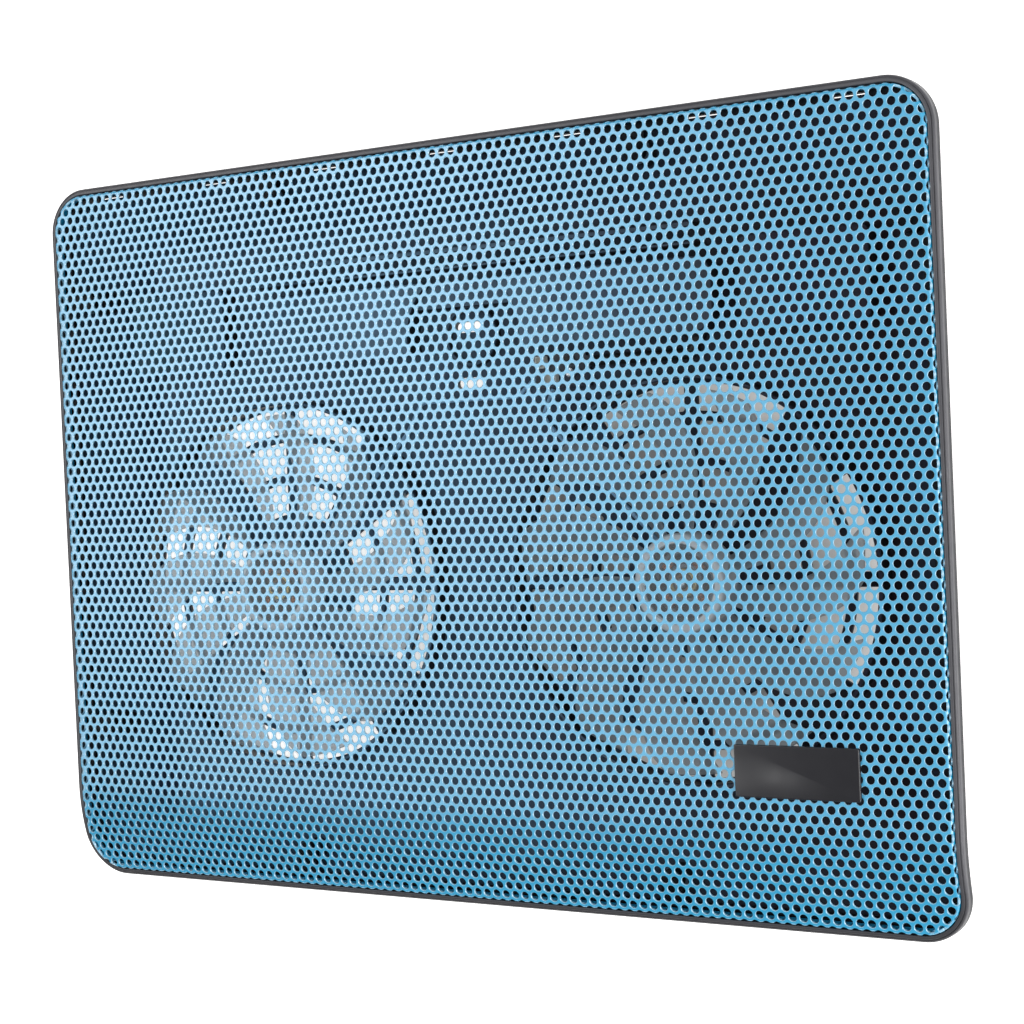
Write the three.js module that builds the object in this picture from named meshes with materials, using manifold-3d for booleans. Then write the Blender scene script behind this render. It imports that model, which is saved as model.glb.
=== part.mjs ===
// Laptop cooling pad: a dished plastic tray with two round fans under a formed, perforated steel top.
// Millimetres. +X is the user's right, +Y is the rear edge, +Z is up. The table is z = 0.
// The steel top's round holes, 3.5 mm apart centre to centre, are left out: the sheet is drawn plain.
// The pad rests on four rubber feet. Two rear legs fold out of pockets in the underside.

import * as THREE from 'three';
import { mergeVertices } from 'three/addons/utils/BufferGeometryUtils.js';
import Module from 'manifold-3d';

const wasm = await Module();
wasm.setup();

// ---------------------------------------------------------------- driving dimensions

const HALF_WIDTH = 164;              // outside of the rim, left and right
const HALF_DEPTH = 121;              // outside of the rim, rear and front
const CORNER_RADIUS = 15;            // outside corner of the rim, seen from above

const FOOT_HEIGHT = 3;               // rubber feet under the tray
const FLOOR_THICKNESS = 2;
const GRILLE_DEPTH = 19.9;           // from the top of the mesh down to the top of the fan grilles
const FLOOR_TOP = FOOT_HEIGHT + FLOOR_THICKNESS;
const MESH_TOP = FLOOR_TOP + GRILLE_DEPTH;
const GAP = 0.3;                     // clearance between neighbouring pieces

const BEND_START_Y = -88;            // the top is level behind this line and rolls down in front of it
const BEND_RADIUS = 68;
const BEND_ANGLE = THREE.MathUtils.degToRad(14.75);

const SHEET_THICKNESS = 0.8;
const SHEET_INSET = 2.3;             // rim face to sheet edge
const FLANGE_DEPTH = 4;              // the sheet's edge is folded down this far

const LIP_DROP = 0.8;                // the rim lies this far below the mesh
const LIP_WIDTH = 2;
const WALL_BOTTOM = 4.9;             // bottom of the rim's outer wall, below the mesh top
const LEDGE_TOP = 4.2;
const LEDGE_BOTTOM = 5.6;
const LEDGE_INSET = 6;
const SKIRT_INSET = 4.3;             // the step inside the tray wall

const FAN_X = 76.5;
const FAN_Y = -19.5;
const OPENING_RADIUS = 60;
const SHROUD_WALL = 1.5;
const SHROUD_TOP = 12;
const SECTOR_HALF_ANGLE = THREE.MathUtils.degToRad(32);
const RADIAL_RIB = 4.5;
const ARC_RADII = [22.6, 36, 50];
const ARC_RIB = 3;

const HUB_RADIUS = 15.2;
const HUB_TOP = MESH_TOP - 6.6;
const HUB_BOTTOM = 8.2;
const ROTOR_RADIUS = 58;
const BLADES = 11;
const BLADE_BOTTOM = 8.4;
const BLADE_TOP = 15.8;
const BLADE_SPAN = THREE.MathUtils.degToRad(19.5);
const BLADE_SWEEP = THREE.MathUtils.degToRad(21);
const BLADE_SWEEP_POWER = 2.2;
const BLADE_THICKNESS = 1.4;
const ROTOR_REST = { left: THREE.MathUtils.degToRad(2.4), right: THREE.MathUtils.degToRad(19.9) };

const SHAFT_RADIUS = 1.5;
const SHAFT_TOP = HUB_TOP - 1.1;
const CLIP_RADIUS = 2.9;             // the ring that keeps the shaft in its sleeve
const SLEEVE_RADIUS = SHAFT_RADIUS + 1.5;
const SLEEVE_HEIGHTS = [6.1, 14.8];
const TUBE_RADIUS = 4.4;
const TUBE_TOP = 15;
const TUBE_FLANGE_RADIUS = 7;
const STATOR_RADIUS = 10.3;
const STATOR_HEIGHTS = [10, 13.4];
const POLES = 4;
const POLE_WIDTH = 2.4;
const SHOE_THICKNESS = 1.3;
const SHOE_WIDTH = 11.2;
const COIL_START = 6.1;              // distance of a winding from the fan's axis
const COIL_LENGTH = 2.6;
const MAGNET_INNER = 10.9;
const MAGNET_OUTER = 12.2;
const MAGNET_HEIGHTS = [9, 15.4];
const YOKE_OUTER = 13.4;
const YOKE_HEIGHTS = [8.8, 15.9];
const MOTOR_BOARD_RADIUS = 12.4;
const MOTOR_BOARD_HEIGHTS = [6.8, 7.6];
const LEAD_RADIUS = 0.7;

const LEG_X = 118;                   // centre of a rear leg
const LEG_POCKET_WIDTH = 38;
const LEG_POCKET_FRONT = 56.5;
const LEG_POCKET_REAR = 81;
const LEG_POCKET_TOP = 10.4;
const LEG_PIN_Y = 76.4;
const LEG_PIN_Z = 6.6;
const LEG_PIN_RADIUS = 1.25;
const LEG_TIP_Y = 60;
const LEG_HOLLOW_X = 8.8;            // centres of the two hollows that lighten a leg
const LEG_HOLLOW_HALF_WIDTH = 7.2;

const FRONT_FOOT_X = 108;
const FRONT_FOOT_Y = -84.5;
const REAR_FOOT_Y = 85.4;
const FOOT_LENGTH = 24;
const FOOT_WIDTH = 5.4;

const BAYS_X = [[-78, -12], [12, 87.5]];       // the two cable bays under the rear of the tray
const BAY_FRONT = 56.5;
const BAY_REAR = 76.5;
const BAY_TOP = 11;
const BAY_WALL = 1.5;
const BAY_CORNER = 5;
const CABLE_RADIUS = 1.7;
const CABLE_Z = FLOOR_TOP + CABLE_RADIUS;
const CABLE_TURN_RADIUS = 3.2;
const CABLE_RUNS_Y = [60, 66.5, 73];
const CABLE_TURN_X = 26;             // the cable doubles back here and at GROMMET_X
const CABLE_DROP_X = -22;            // where it turns down towards the plug
const GROMMET_X = 80;

const CROSSING_TOP = 8.7;            // roof of the groove that takes the cable from bay to bay
const FLOOR_SLOT_SIZE = [10, 3.4];   // two slots in the floor, near the centre line
const FLOOR_SLOTS_X = -2.5;
const FLOOR_SLOTS_Y = [62.9, 45];
const CENTRE_RING_RADIUS = 10;
const RECESS_RADIUS = 21;            // the round recess between the bays, about the centre ring
const CROSSING_HALF_LENGTH = 21;
const LONG_RIBS = [[84, 86.4, 88, 13.5], [84, 81.2, 82.2, 12.5]];     // half length, front, rear, top
const WIRE_GUIDE = [35, 6, 36.2, 37.6, 8];     // centre, half length, front, rear, top

const BOARD_X = [23, 43];            // the power board's sides, its front and rear, and its thickness
const BOARD_Y = [41.5, 52.5];
const BOARD_THICKNESS = 1.2;
const BOARD_PART_HEIGHT = 2;

const PLUG_SHELL_X = [-73, -60.2];
const PLUG_SHELL_Y = [60.5, 72.5];
const PLUG_SHELL_Z = [4.7, 9.2];
const PLUG_SHELL_WALL = 0.4;
const PLUG_SHELL_BACK = 1.2;
const PLUG_TONGUE_THICKNESS = 1.6;
const PLUG_GRIP_X = [-60, -38.3];
const PLUG_GRIP_Y = [59.2, 73.8];
const PLUG_NECK_END = -34;
const PLUG_NECK_RADIUS = 2.9;

const PLATE_SIZE = [39, 15.3, 1];
const PLATE_CENTRE = [115.9, -73.3];
const PLATE_CORNER = 0.5;
const PLATE_BEVEL = 0.3;

const SLIT_PITCH = 46;               // slits along the rear edge, through the rim's ledge and the tray
const SLIT_STEPS = [-3, -2, -1, 0, 1, 2, 3];
const SLIT_WIDTH = 11;
const SLIT_REAR = HALF_DEPTH - LIP_WIDTH - 1.5;
const SLIT_DEPTH = 1;
const LEDGE_NOTCH_DEPTH = 6;

const TOWER_RADIUS = 3.6;            // the rim's screw towers and the tray's bosses under them
const TOWER_LENGTH = 1;
const TOWER_BORE = 1.3;
const BOSS_RADIUS = 4.2;
const COUNTERBORE_RADIUS = 2.9;
const SCREW_BORE = 1.4;
const SCREW_HEAD_RADIUS = 2.5;
const SCREW_HEAD_HEIGHT = 1.6;
const SCREW_RADIUS = 1.05;
const SCREW_LENGTH = 3.2;
const SCREW_PLACES = [
  ['side', 152, 82], ['side', 152, -68], ['rear', 69, 110], ['front', 69, -109],
];

// ---------------------------------------------------------------- materials

function material(colour, roughness, metalness = 0, extra = {}) {
  return new THREE.MeshStandardMaterial({ color: colour, roughness, metalness, ...extra });
}

const finish = {
  bluePaint: material(0x50afdc, 0.45, 0.1),
  darkAbs: material(0x2b2c30, 0.55),
  rimAbs: material(0x4e4e53, 0.5),
  plate: material(0x424246, 0.35),
  clearPlastic: material(0xdfe6ea, 0.25, 0, { transparent: true, opacity: 0.5 }),
  steel: material(0xb9bcc0, 0.3, 0.9),
  magnet: material(0x3c3a3a, 0.6, 0.3),
  brass: material(0xc29a52, 0.35, 0.9),
  bronze: material(0x8d6b45, 0.5, 0.8),
  copper: material(0xb8683a, 0.35, 0.9),
  board: material(0x18263a, 0.5),
  rubber: material(0x1a1a1b, 0.9),
  cable: material(0x18181a, 0.6),
  lead: material(0x9cc3e6, 0.35),
  nylon: material(0xe6e3da, 0.5),
};

// ---------------------------------------------------------------- solids

function signedVolume(positions, triangles) {
  const corners = [new THREE.Vector3(), new THREE.Vector3(), new THREE.Vector3()];
  let volume = 0;
  for (const triangle of triangles) {
    corners.forEach((corner, k) => corner.fromArray(positions, 3 * triangle[k]));
    volume += corners[0].dot(corners[1].clone().cross(corners[2])) / 6;
  }
  return volume;
}

// Triangles that face outwards, whichever way round they were given.
function facingOut(positions, triangles) {
  if (signedVolume(positions, triangles) > 0) return triangles;
  return triangles.map(([a, b, c]) => [a, c, b]);
}

function toSolid(geometry) {
  const bare = geometry.clone();
  for (const key of Object.keys(bare.attributes)) {
    if (key !== 'position') bare.deleteAttribute(key);
  }
  const merged = mergeVertices(bare, 1e-4);
  const positions = merged.attributes.position.array;
  const triangles = [];
  for (let i = 0; i < merged.index.count; i += 3) {
    const triangle = [0, 1, 2].map((k) => merged.index.getX(i + k));
    if (new Set(triangle).size === 3) triangles.push(triangle);
  }
  return new wasm.Manifold(new wasm.Mesh({
    numProp: 3,
    vertProperties: Float32Array.from(positions),
    triVerts: Uint32Array.from(facingOut(positions, triangles).flat()),
  }));
}

function toGeometry(solid) {
  const mesh = solid.getMesh();
  const geometry = new THREE.BufferGeometry();
  geometry.setAttribute('position', new THREE.BufferAttribute(mesh.vertProperties, 3));
  geometry.setIndex(new THREE.BufferAttribute(mesh.triVerts, 1));
  geometry.computeVertexNormals();
  return geometry;
}

function join(first, ...others) {
  return others.reduce((sum, next) => sum.add(next), first);
}

// A closed geometry from a list of points and a list of triangles.
function closedGeometry(points, triangles) {
  const positions = points.flat();
  const geometry = new THREE.BufferGeometry();
  geometry.setAttribute('position', new THREE.Float32BufferAttribute(positions, 3));
  geometry.setIndex(facingOut(positions, triangles).flat());
  geometry.computeVertexNormals();
  return geometry;
}

function ordered(a, b) {
  return [Math.min(a, b), Math.max(a, b)];
}

function box(minX, maxX, minY, maxY, minZ, maxZ) {
  const geometry = new THREE.BoxGeometry(maxX - minX, maxY - minY, maxZ - minZ);
  return toSolid(geometry.translate((minX + maxX) / 2, (minY + maxY) / 2, (minZ + maxZ) / 2));
}

function upright(radius, minZ, maxZ, x = 0, y = 0, sides = 24) {
  const geometry = new THREE.CylinderGeometry(radius, radius, maxZ - minZ, sides);
  return toSolid(geometry.rotateX(Math.PI / 2).translate(x, y, (minZ + maxZ) / 2));
}

function alongX(radius, minX, maxX, y, z, sides = 20) {
  const geometry = new THREE.CylinderGeometry(radius, radius, maxX - minX, sides);
  return toSolid(geometry.rotateZ(Math.PI / 2).translate((minX + maxX) / 2, y, z));
}

function alongY(radius, minY, maxY, x, z, sides = 16) {
  const geometry = new THREE.CylinderGeometry(radius, radius, maxY - minY, sides);
  return toSolid(geometry.translate(x, (minY + maxY) / 2, z));
}

function sleeve(inner, outer, minZ, maxZ, sides = 24) {
  return upright(outer, minZ, maxZ, 0, 0, sides).subtract(upright(inner, minZ - 1, maxZ + 1, 0, 0, sides));
}

function extrude(shape, depth, curveSegments = 6) {
  return new THREE.ExtrudeGeometry(shape, { depth, bevelEnabled: false, curveSegments });
}

// A rounded rectangle centred on (x, y).
function roundedShape(width, depth, radius, x = 0, y = 0) {
  const w = width / 2;
  const d = depth / 2;
  const shape = new THREE.Shape();
  shape.absarc(x + w - radius, y + d - radius, radius, 0, Math.PI / 2);
  shape.absarc(x - w + radius, y + d - radius, radius, Math.PI / 2, Math.PI);
  shape.absarc(x - w + radius, y - d + radius, radius, Math.PI, 1.5 * Math.PI);
  shape.absarc(x + w - radius, y - d + radius, radius, 1.5 * Math.PI, 2 * Math.PI);
  return shape;
}

function roundedBlock(minX, maxX, minY, maxY, minZ, maxZ, radius, segments = 3) {
  const shape = roundedShape(maxX - minX, maxY - minY, radius, (minX + maxX) / 2, (minY + maxY) / 2);
  return toSolid(extrude(shape, maxZ - minZ, segments).translate(0, 0, minZ));
}

// A tube along a list of points, with flat ends.
function tube(points, radius, sides) {
  const rings = [];
  let side = null;
  points.forEach((point, i) => {
    const before = points[Math.max(i - 1, 0)];
    const after = points[Math.min(i + 1, points.length - 1)];
    const forward = after.clone().sub(before).normalize();
    side = side ?? new THREE.Vector3(0, 0, 1).cross(forward);
    side = side.clone().addScaledVector(forward, -side.dot(forward)).normalize();
    const up = forward.clone().cross(side);
    for (let k = 0; k < sides; k += 1) {
      const angle = (2 * Math.PI * k) / sides;
      const offset = side.clone().multiplyScalar(Math.cos(angle)).addScaledVector(up, Math.sin(angle));
      rings.push(point.clone().addScaledVector(offset, radius).toArray());
    }
  });
  const faces = [];
  for (let i = 0; i + 1 < points.length; i += 1) {
    for (let k = 0; k < sides; k += 1) {
      const a = i * sides + k;
      const b = i * sides + ((k + 1) % sides);
      faces.push([a, b, b + sides], [a, b + sides, a + sides]);
    }
  }
  const last = (points.length - 1) * sides;
  for (let k = 1; k + 1 < sides; k += 1) {
    faces.push([0, k + 1, k], [last, last + k, last + k + 1]);
  }
  return closedGeometry(rings, faces);
}

// A level path of straight runs joined by round corners.
function roundedPath(corners, radius, z, steps = 4) {
  const path = [];
  corners.forEach(([x, y], i) => {
    const corner = new THREE.Vector3(x, y, z);
    if (i === 0 || i === corners.length - 1) {
      path.push(corner);
      return;
    }
    const back = new THREE.Vector3(...corners[i - 1], z).sub(corner).normalize();
    const ahead = new THREE.Vector3(...corners[i + 1], z).sub(corner).normalize();
    const half = back.angleTo(ahead) / 2;
    const reach = radius / Math.tan(half);
    const middle = back.clone().add(ahead).normalize().multiplyScalar(radius / Math.sin(half)).add(corner);
    const start = corner.clone().addScaledVector(back, reach).sub(middle);
    const end = corner.clone().addScaledVector(ahead, reach).sub(middle);
    const turn = Math.atan2(start.x * end.y - start.y * end.x, start.dot(end));
    for (let k = 0; k <= steps; k += 1) {
      const spoke = start.clone().applyAxisAngle(new THREE.Vector3(0, 0, 1), (turn * k) / steps);
      path.push(spoke.add(middle));
    }
  });
  return path;
}

// ---------------------------------------------------------------- the outline and the rolled front

// How far the top has dropped at y.
function frontDrop(y) {
  const ahead = BEND_START_Y - y;
  if (ahead <= 0) return 0;
  const arcReach = BEND_RADIUS * Math.sin(BEND_ANGLE);
  if (ahead < arcReach) return BEND_RADIUS - Math.sqrt(BEND_RADIUS ** 2 - ahead ** 2);
  return BEND_RADIUS * (1 - Math.cos(BEND_ANGLE)) + (ahead - arcReach) * Math.tan(BEND_ANGLE);
}

const ARC_STEPS = 5;
const SIDE_STATIONS = [0.4, 0.91, 0.94, 0.97];

// The right half of a rounded outline, rear to front. The same number of points for every outline.
function halfOutline(halfWidth, rear, front, radius) {
  const points = [];
  for (let k = 0; k <= ARC_STEPS; k += 1) {
    const angle = (Math.PI / 2) * (1 - k / ARC_STEPS);
    points.push([halfWidth - radius + radius * Math.cos(angle), rear - radius + radius * Math.sin(angle)]);
  }
  for (const station of SIDE_STATIONS) {
    points.push([halfWidth, THREE.MathUtils.lerp(rear - radius, front + radius, station)]);
  }
  for (let k = 0; k <= ARC_STEPS; k += 1) {
    const angle = (-Math.PI / 2) * (k / ARC_STEPS);
    points.push([halfWidth - radius + radius * Math.cos(angle), front + radius + radius * Math.sin(angle)]);
  }
  return points;
}

// The rim outline moved in by inset.
function rimOutline(inset) {
  return halfOutline(HALF_WIDTH - inset, HALF_DEPTH - inset, inset - HALF_DEPTH, CORNER_RADIUS - inset);
}

// A level-by-level skin. Each ring is a right-half outline with its heights; the left half mirrors it.
function skin(rings, isLoop) {
  const count = rings[0].length;
  const points = rings.flatMap((ring) => {
    const left = ring.map(([x, y, z]) => [-x, y, z]).reverse();
    return [...ring, ...left];
  });
  const faces = [];
  const around = 2 * count;
  const spans = isLoop ? rings.length : rings.length - 1;
  for (let i = 0; i < spans; i += 1) {
    const lower = i * around;
    const upper = ((i + 1) % rings.length) * around;
    for (let k = 0; k < around; k += 1) {
      const next = (k + 1) % around;
      faces.push([lower + k, lower + next, upper + next], [lower + k, upper + next, upper + k]);
    }
  }
  if (!isLoop) {
    const top = (rings.length - 1) * around;
    for (let k = 0; k + 1 < count; k += 1) {
      const mirror = around - 1 - k;
      faces.push([k, mirror, mirror - 1], [k, mirror - 1, k + 1]);
      faces.push([top + k, top + mirror - 1, top + mirror], [top + k, top + k + 1, top + mirror - 1]);
    }
  }
  return closedGeometry(points, faces);
}

// A ring that follows the rolled top, depth below it.
function followTop(outline, depth) {
  return outline.map(([x, y]) => [x, y, MESH_TOP - frontDrop(y) - depth]);
}

// ---------------------------------------------------------------- top: sheet, rim, plate

// The steel sheet is drawn plain here; its round holes are HOLE_PITCH apart.
function meshPanel() {
  const outside = (inset, depth) => followTop(rimOutline(SHEET_INSET + inset), depth);
  const fold = 0.35;
  return skin([
    outside(fold, 0),
    outside(0, fold),
    outside(0, FLANGE_DEPTH),
    outside(SHEET_THICKNESS, FLANGE_DEPTH),
    outside(SHEET_THICKNESS, SHEET_THICKNESS),
  ], false);
}

// Every screw: the edge it belongs to, its place, and the height of the underside of the ledge there.
function screwSpots() {
  return SCREW_PLACES.flatMap(([edge, x, y]) => {
    const ledgeY = edge === 'side' ? y : Math.sign(y) * (HALF_DEPTH - LEDGE_INSET);
    const under = MESH_TOP - frontDrop(ledgeY) - LEDGE_BOTTOM;
    return [-1, 1].map((sign) => ({ edge, x: sign * x, y, under, towerBottom: under - TOWER_LENGTH }));
  });
}

// The cutters for the rear slits, from front to SLIT_REAR.
function rearSlits(front, minZ, maxZ) {
  return join(...SLIT_STEPS.map((step) => {
    const x = step * SLIT_PITCH;
    return box(x - SLIT_WIDTH / 2, x + SLIT_WIDTH / 2, front, SLIT_REAR, minZ, maxZ);
  }));
}

function topFrame() {
  const section = [
    [0, 1.5], [0.3, 1], [0.9, LIP_DROP], [LIP_WIDTH, LIP_DROP], [LIP_WIDTH, LEDGE_TOP],
    [LEDGE_INSET, LEDGE_TOP], [LEDGE_INSET, LEDGE_BOTTOM],
    [SKIRT_INSET, LEDGE_BOTTOM], [SKIRT_INSET, WALL_BOTTOM], [0, WALL_BOTTOM],
  ];
  let frame = toSolid(skin(section.map(([inset, depth]) => followTop(rimOutline(inset), depth)), true));
  const reach = LEDGE_INSET - 1.5;
  for (const { edge, x, y, under, towerBottom } of screwSpots()) {
    const over = under + LEDGE_BOTTOM - LEDGE_TOP - 0.2;
    const half = TOWER_RADIUS;
    const spanX = edge === 'side' ? ordered(x, Math.sign(x) * (HALF_WIDTH - reach)) : [x - half, x + half];
    const spanY = edge === 'side' ? [y - half, y + half] : ordered(y, Math.sign(y) * (HALF_DEPTH - reach));
    const tower = upright(half, towerBottom, over, x, y, 12);
    const bore = upright(TOWER_BORE, towerBottom - 1, over - 0.5, x, y, 8);
    frame = join(frame, box(...spanX, ...spanY, under, over), tower).subtract(bore);
  }
  const notches = rearSlits(SLIT_REAR - LEDGE_NOTCH_DEPTH, MESH_TOP - 8, MESH_TOP - LEDGE_TOP + 1);
  return toGeometry(frame.subtract(notches));
}

function namePlate() {
  const [width, depth, thickness] = PLATE_SIZE;
  const geometry = new THREE.ExtrudeGeometry(roundedShape(width, depth, PLATE_CORNER), {
    depth: thickness - PLATE_BEVEL,
    bevelThickness: PLATE_BEVEL,
    bevelSize: PLATE_BEVEL,
    bevelOffset: -PLATE_BEVEL,
    bevelSegments: 1,
    curveSegments: 4,
  });
  const solid = toSolid(geometry).intersect(box(-width, width, -depth, depth, 0, thickness + 1));
  return toGeometry(solid).translate(PLATE_CENTRE[0], PLATE_CENTRE[1], MESH_TOP);
}

// ---------------------------------------------------------------- tray

// Outlines of the dish from its floor to its edge: half width, rear, front, corner radius, share of height.
const DISH = [
  [144, 88.5, -89, 20, 0],
  [150.5, 99, -100, 19, 0.17],
  [156.5, 109, -109.5, 17, 0.5],
  [160.3, 115.3, -115.3, 15, 0.8],
  [HALF_WIDTH - 1.2, HALF_DEPTH - 1.2, 1.2 - HALF_DEPTH, CORNER_RADIUS - 1.2, 1],
];

// The dish skin moved in by wall, with its floor at floorHeight.
function dish(wall, floorHeight, overshoot) {
  const edge = followTop(rimOutline(1.2), WALL_BOTTOM + GAP);
  const rings = DISH.map(([halfWidth, rear, front, radius, share]) => {
    const outline = halfOutline(halfWidth - wall, rear - wall, front + wall, radius - wall);
    return outline.map(([x, y], i) => [x, y, floorHeight + share * (edge[i][2] - floorHeight)]);
  });
  if (overshoot > 0) {
    rings.push(rings[rings.length - 1].map(([x, y, z]) => [x, y, z + overshoot]));
  }
  return toSolid(skin(rings, false));
}

// One open cell of a fan grille: between two arc ribs, on one side of the radial rib at the angle middle.
function grilleCell(inner, outer, middle, side) {
  const ribEdge = (radius) => middle + side * Math.asin(RADIAL_RIB / 2 / radius);
  const sectorEdge = middle + side * SECTOR_HALF_ANGLE;
  const shape = new THREE.Shape();
  shape.absarc(0, 0, outer, ribEdge(outer), sectorEdge, side < 0);
  shape.absarc(0, 0, inner, sectorEdge, ribEdge(inner), side > 0);
  return toSolid(extrude(shape, FLOOR_THICKNESS + 2, 2).translate(0, 0, FOOT_HEIGHT - 1));
}

function grilleCuts(fanX) {
  const cells = [];
  const bands = [...ARC_RADII, OPENING_RADIUS + ARC_RIB / 2];
  for (let quarter = 0; quarter < 4; quarter += 1) {
    for (let band = 0; band + 1 < bands.length; band += 1) {
      for (const side of [-1, 1]) {
        const inner = bands[band] + ARC_RIB / 2;
        const outer = bands[band + 1] - ARC_RIB / 2;
        cells.push(grilleCell(inner, outer, (quarter * Math.PI) / 2, side));
      }
    }
  }
  return join(...cells).translate([fanX, FAN_Y, 0]);
}

// A pocket in the underside and the walls that close it off inside the tray.
function pocket(minX, maxX, minY, maxY, top, radius) {
  return {
    walls: roundedBlock(
      minX - BAY_WALL, maxX + BAY_WALL, minY - BAY_WALL, maxY + BAY_WALL,
      FOOT_HEIGHT + 1, top + BAY_WALL, radius + BAY_WALL,
    ),
    hollow: roundedBlock(minX, maxX, minY, maxY, FOOT_HEIGHT - 1, top, radius),
  };
}

// Underside of the boss, where the screw's head bears.
function screwSeat(towerBottom) {
  return towerBottom - GAP - 1.4;
}

function baseTray() {
  const filled = dish(0, FOOT_HEIGHT, 0);
  const cavity = dish(FLOOR_THICKNESS, FLOOR_TOP, 6);
  const additions = [];
  const cuts = [];

  const recessY = CABLE_RUNS_Y[0];
  const recess = (radius) => upright(radius, 0, MESH_TOP, 0, recessY, 48);
  for (const [minX, maxX] of BAYS_X) {
    const bay = pocket(minX, maxX, BAY_FRONT, BAY_REAR, BAY_TOP, BAY_CORNER);
    additions.push(bay.walls.subtract(recess(RECESS_RADIUS)));
    cuts.push(bay.hollow.subtract(recess(RECESS_RADIUS + BAY_WALL)));
  }

  for (const sign of [-1, 1]) {
    const fanX = sign * FAN_X;
    const shroudInner = OPENING_RADIUS + 1;
    const shroud = sleeve(shroudInner, shroudInner + SHROUD_WALL, FLOOR_TOP - 1, SHROUD_TOP, 40);
    const gate = box(-3, 3, OPENING_RADIUS - 4, OPENING_RADIUS + 8, FLOOR_TOP, SHROUD_TOP + 1);
    const notch = gate.rotate([0, 0, sign * 45]).translate([fanX, FAN_Y, 0]);
    additions.push(shroud.translate([fanX, FAN_Y, 0]).subtract(notch));
    cuts.push(grilleCuts(fanX));

    const legHalf = LEG_POCKET_WIDTH / 2;
    const legBay = pocket(
      sign * LEG_X - legHalf, sign * LEG_X + legHalf, LEG_POCKET_FRONT, LEG_POCKET_REAR, LEG_POCKET_TOP, 0.8,
    );
    const pinReach = legHalf + BAY_WALL + 1;
    additions.push(legBay.walls);
    cuts.push(legBay.hollow);
    cuts.push(alongX(
      LEG_PIN_RADIUS + GAP, sign * LEG_X - pinReach, sign * LEG_X + pinReach, LEG_PIN_Y, LEG_PIN_Z, 16,
    ));
  }

  // The groove that lets the cable cross from one bay to the other, and the round boss in front of it.
  const crossing = CABLE_RUNS_Y[2];
  const crossingHalf = 2.5;
  const crossingWall = crossingHalf + BAY_WALL;
  additions.push(box(
    -CROSSING_HALF_LENGTH, CROSSING_HALF_LENGTH, crossing - crossingWall, crossing + crossingWall,
    FOOT_HEIGHT + 1, CROSSING_TOP + BAY_WALL,
  ));
  cuts.push(box(
    -CROSSING_HALF_LENGTH, CROSSING_HALF_LENGTH, crossing - crossingHalf, crossing + crossingHalf,
    FOOT_HEIGHT - 1, CROSSING_TOP,
  ));
  const ring = sleeve(CENTRE_RING_RADIUS - BAY_WALL, CENTRE_RING_RADIUS, FLOOR_TOP - 1, 7.5, 24);
  additions.push(ring.translate([0, recessY, 0]));

  // Slots in the floor, the long ribs behind the bays and two wire guides.
  const [slotLength, slotWidth] = FLOOR_SLOT_SIZE;
  const slotLeft = FLOOR_SLOTS_X - slotLength / 2;
  for (const y of FLOOR_SLOTS_Y) {
    cuts.push(roundedBlock(slotLeft, slotLeft + slotLength, y - slotWidth / 2, y + slotWidth / 2, 0, 9, 1.6));
  }
  for (const [half, front, rear, top] of LONG_RIBS) {
    additions.push(box(-half, half, front, rear, FLOOR_TOP - 1, top));
  }
  const [guideX, guideHalf, guideFront, guideRear, guideTop] = WIRE_GUIDE;
  for (const x of [-guideX, guideX]) {
    additions.push(box(x - guideHalf, x + guideHalf, guideFront, guideRear, FLOOR_TOP - 1, guideTop));
  }

  // Where the cable comes through the wall of the right-hand bay.
  cuts.push(alongY(CABLE_RADIUS + 1.7, BAY_FRONT - BAY_WALL - 2, BAY_FRONT + 1.2, GROMMET_X, CABLE_Z));

  // Screw bosses, counterbored from below.
  for (const { x, y, towerBottom } of screwSpots()) {
    const seat = screwSeat(towerBottom);
    additions.push(upright(BOSS_RADIUS, FOOT_HEIGHT, towerBottom - GAP, x, y, 12));
    cuts.push(upright(COUNTERBORE_RADIUS, 0, seat, x, y, 12), upright(SCREW_BORE, 0, seat + 5, x, y, 8));
  }
  cuts.push(rearSlits(SLIT_REAR - SLIT_DEPTH, 0, MESH_TOP));

  const inside = join(...additions).intersect(filled);
  return toGeometry(filled.subtract(cavity).add(inside).subtract(join(...cuts)));
}

// ---------------------------------------------------------------- feet and rear legs

function rubberFoot() {
  const end = FOOT_LENGTH / 2;
  const side = FOOT_WIDTH / 2;
  return toGeometry(roundedBlock(-end, end, -side, side, 0, FOOT_HEIGHT, side - 0.1, 3));
}

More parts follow.
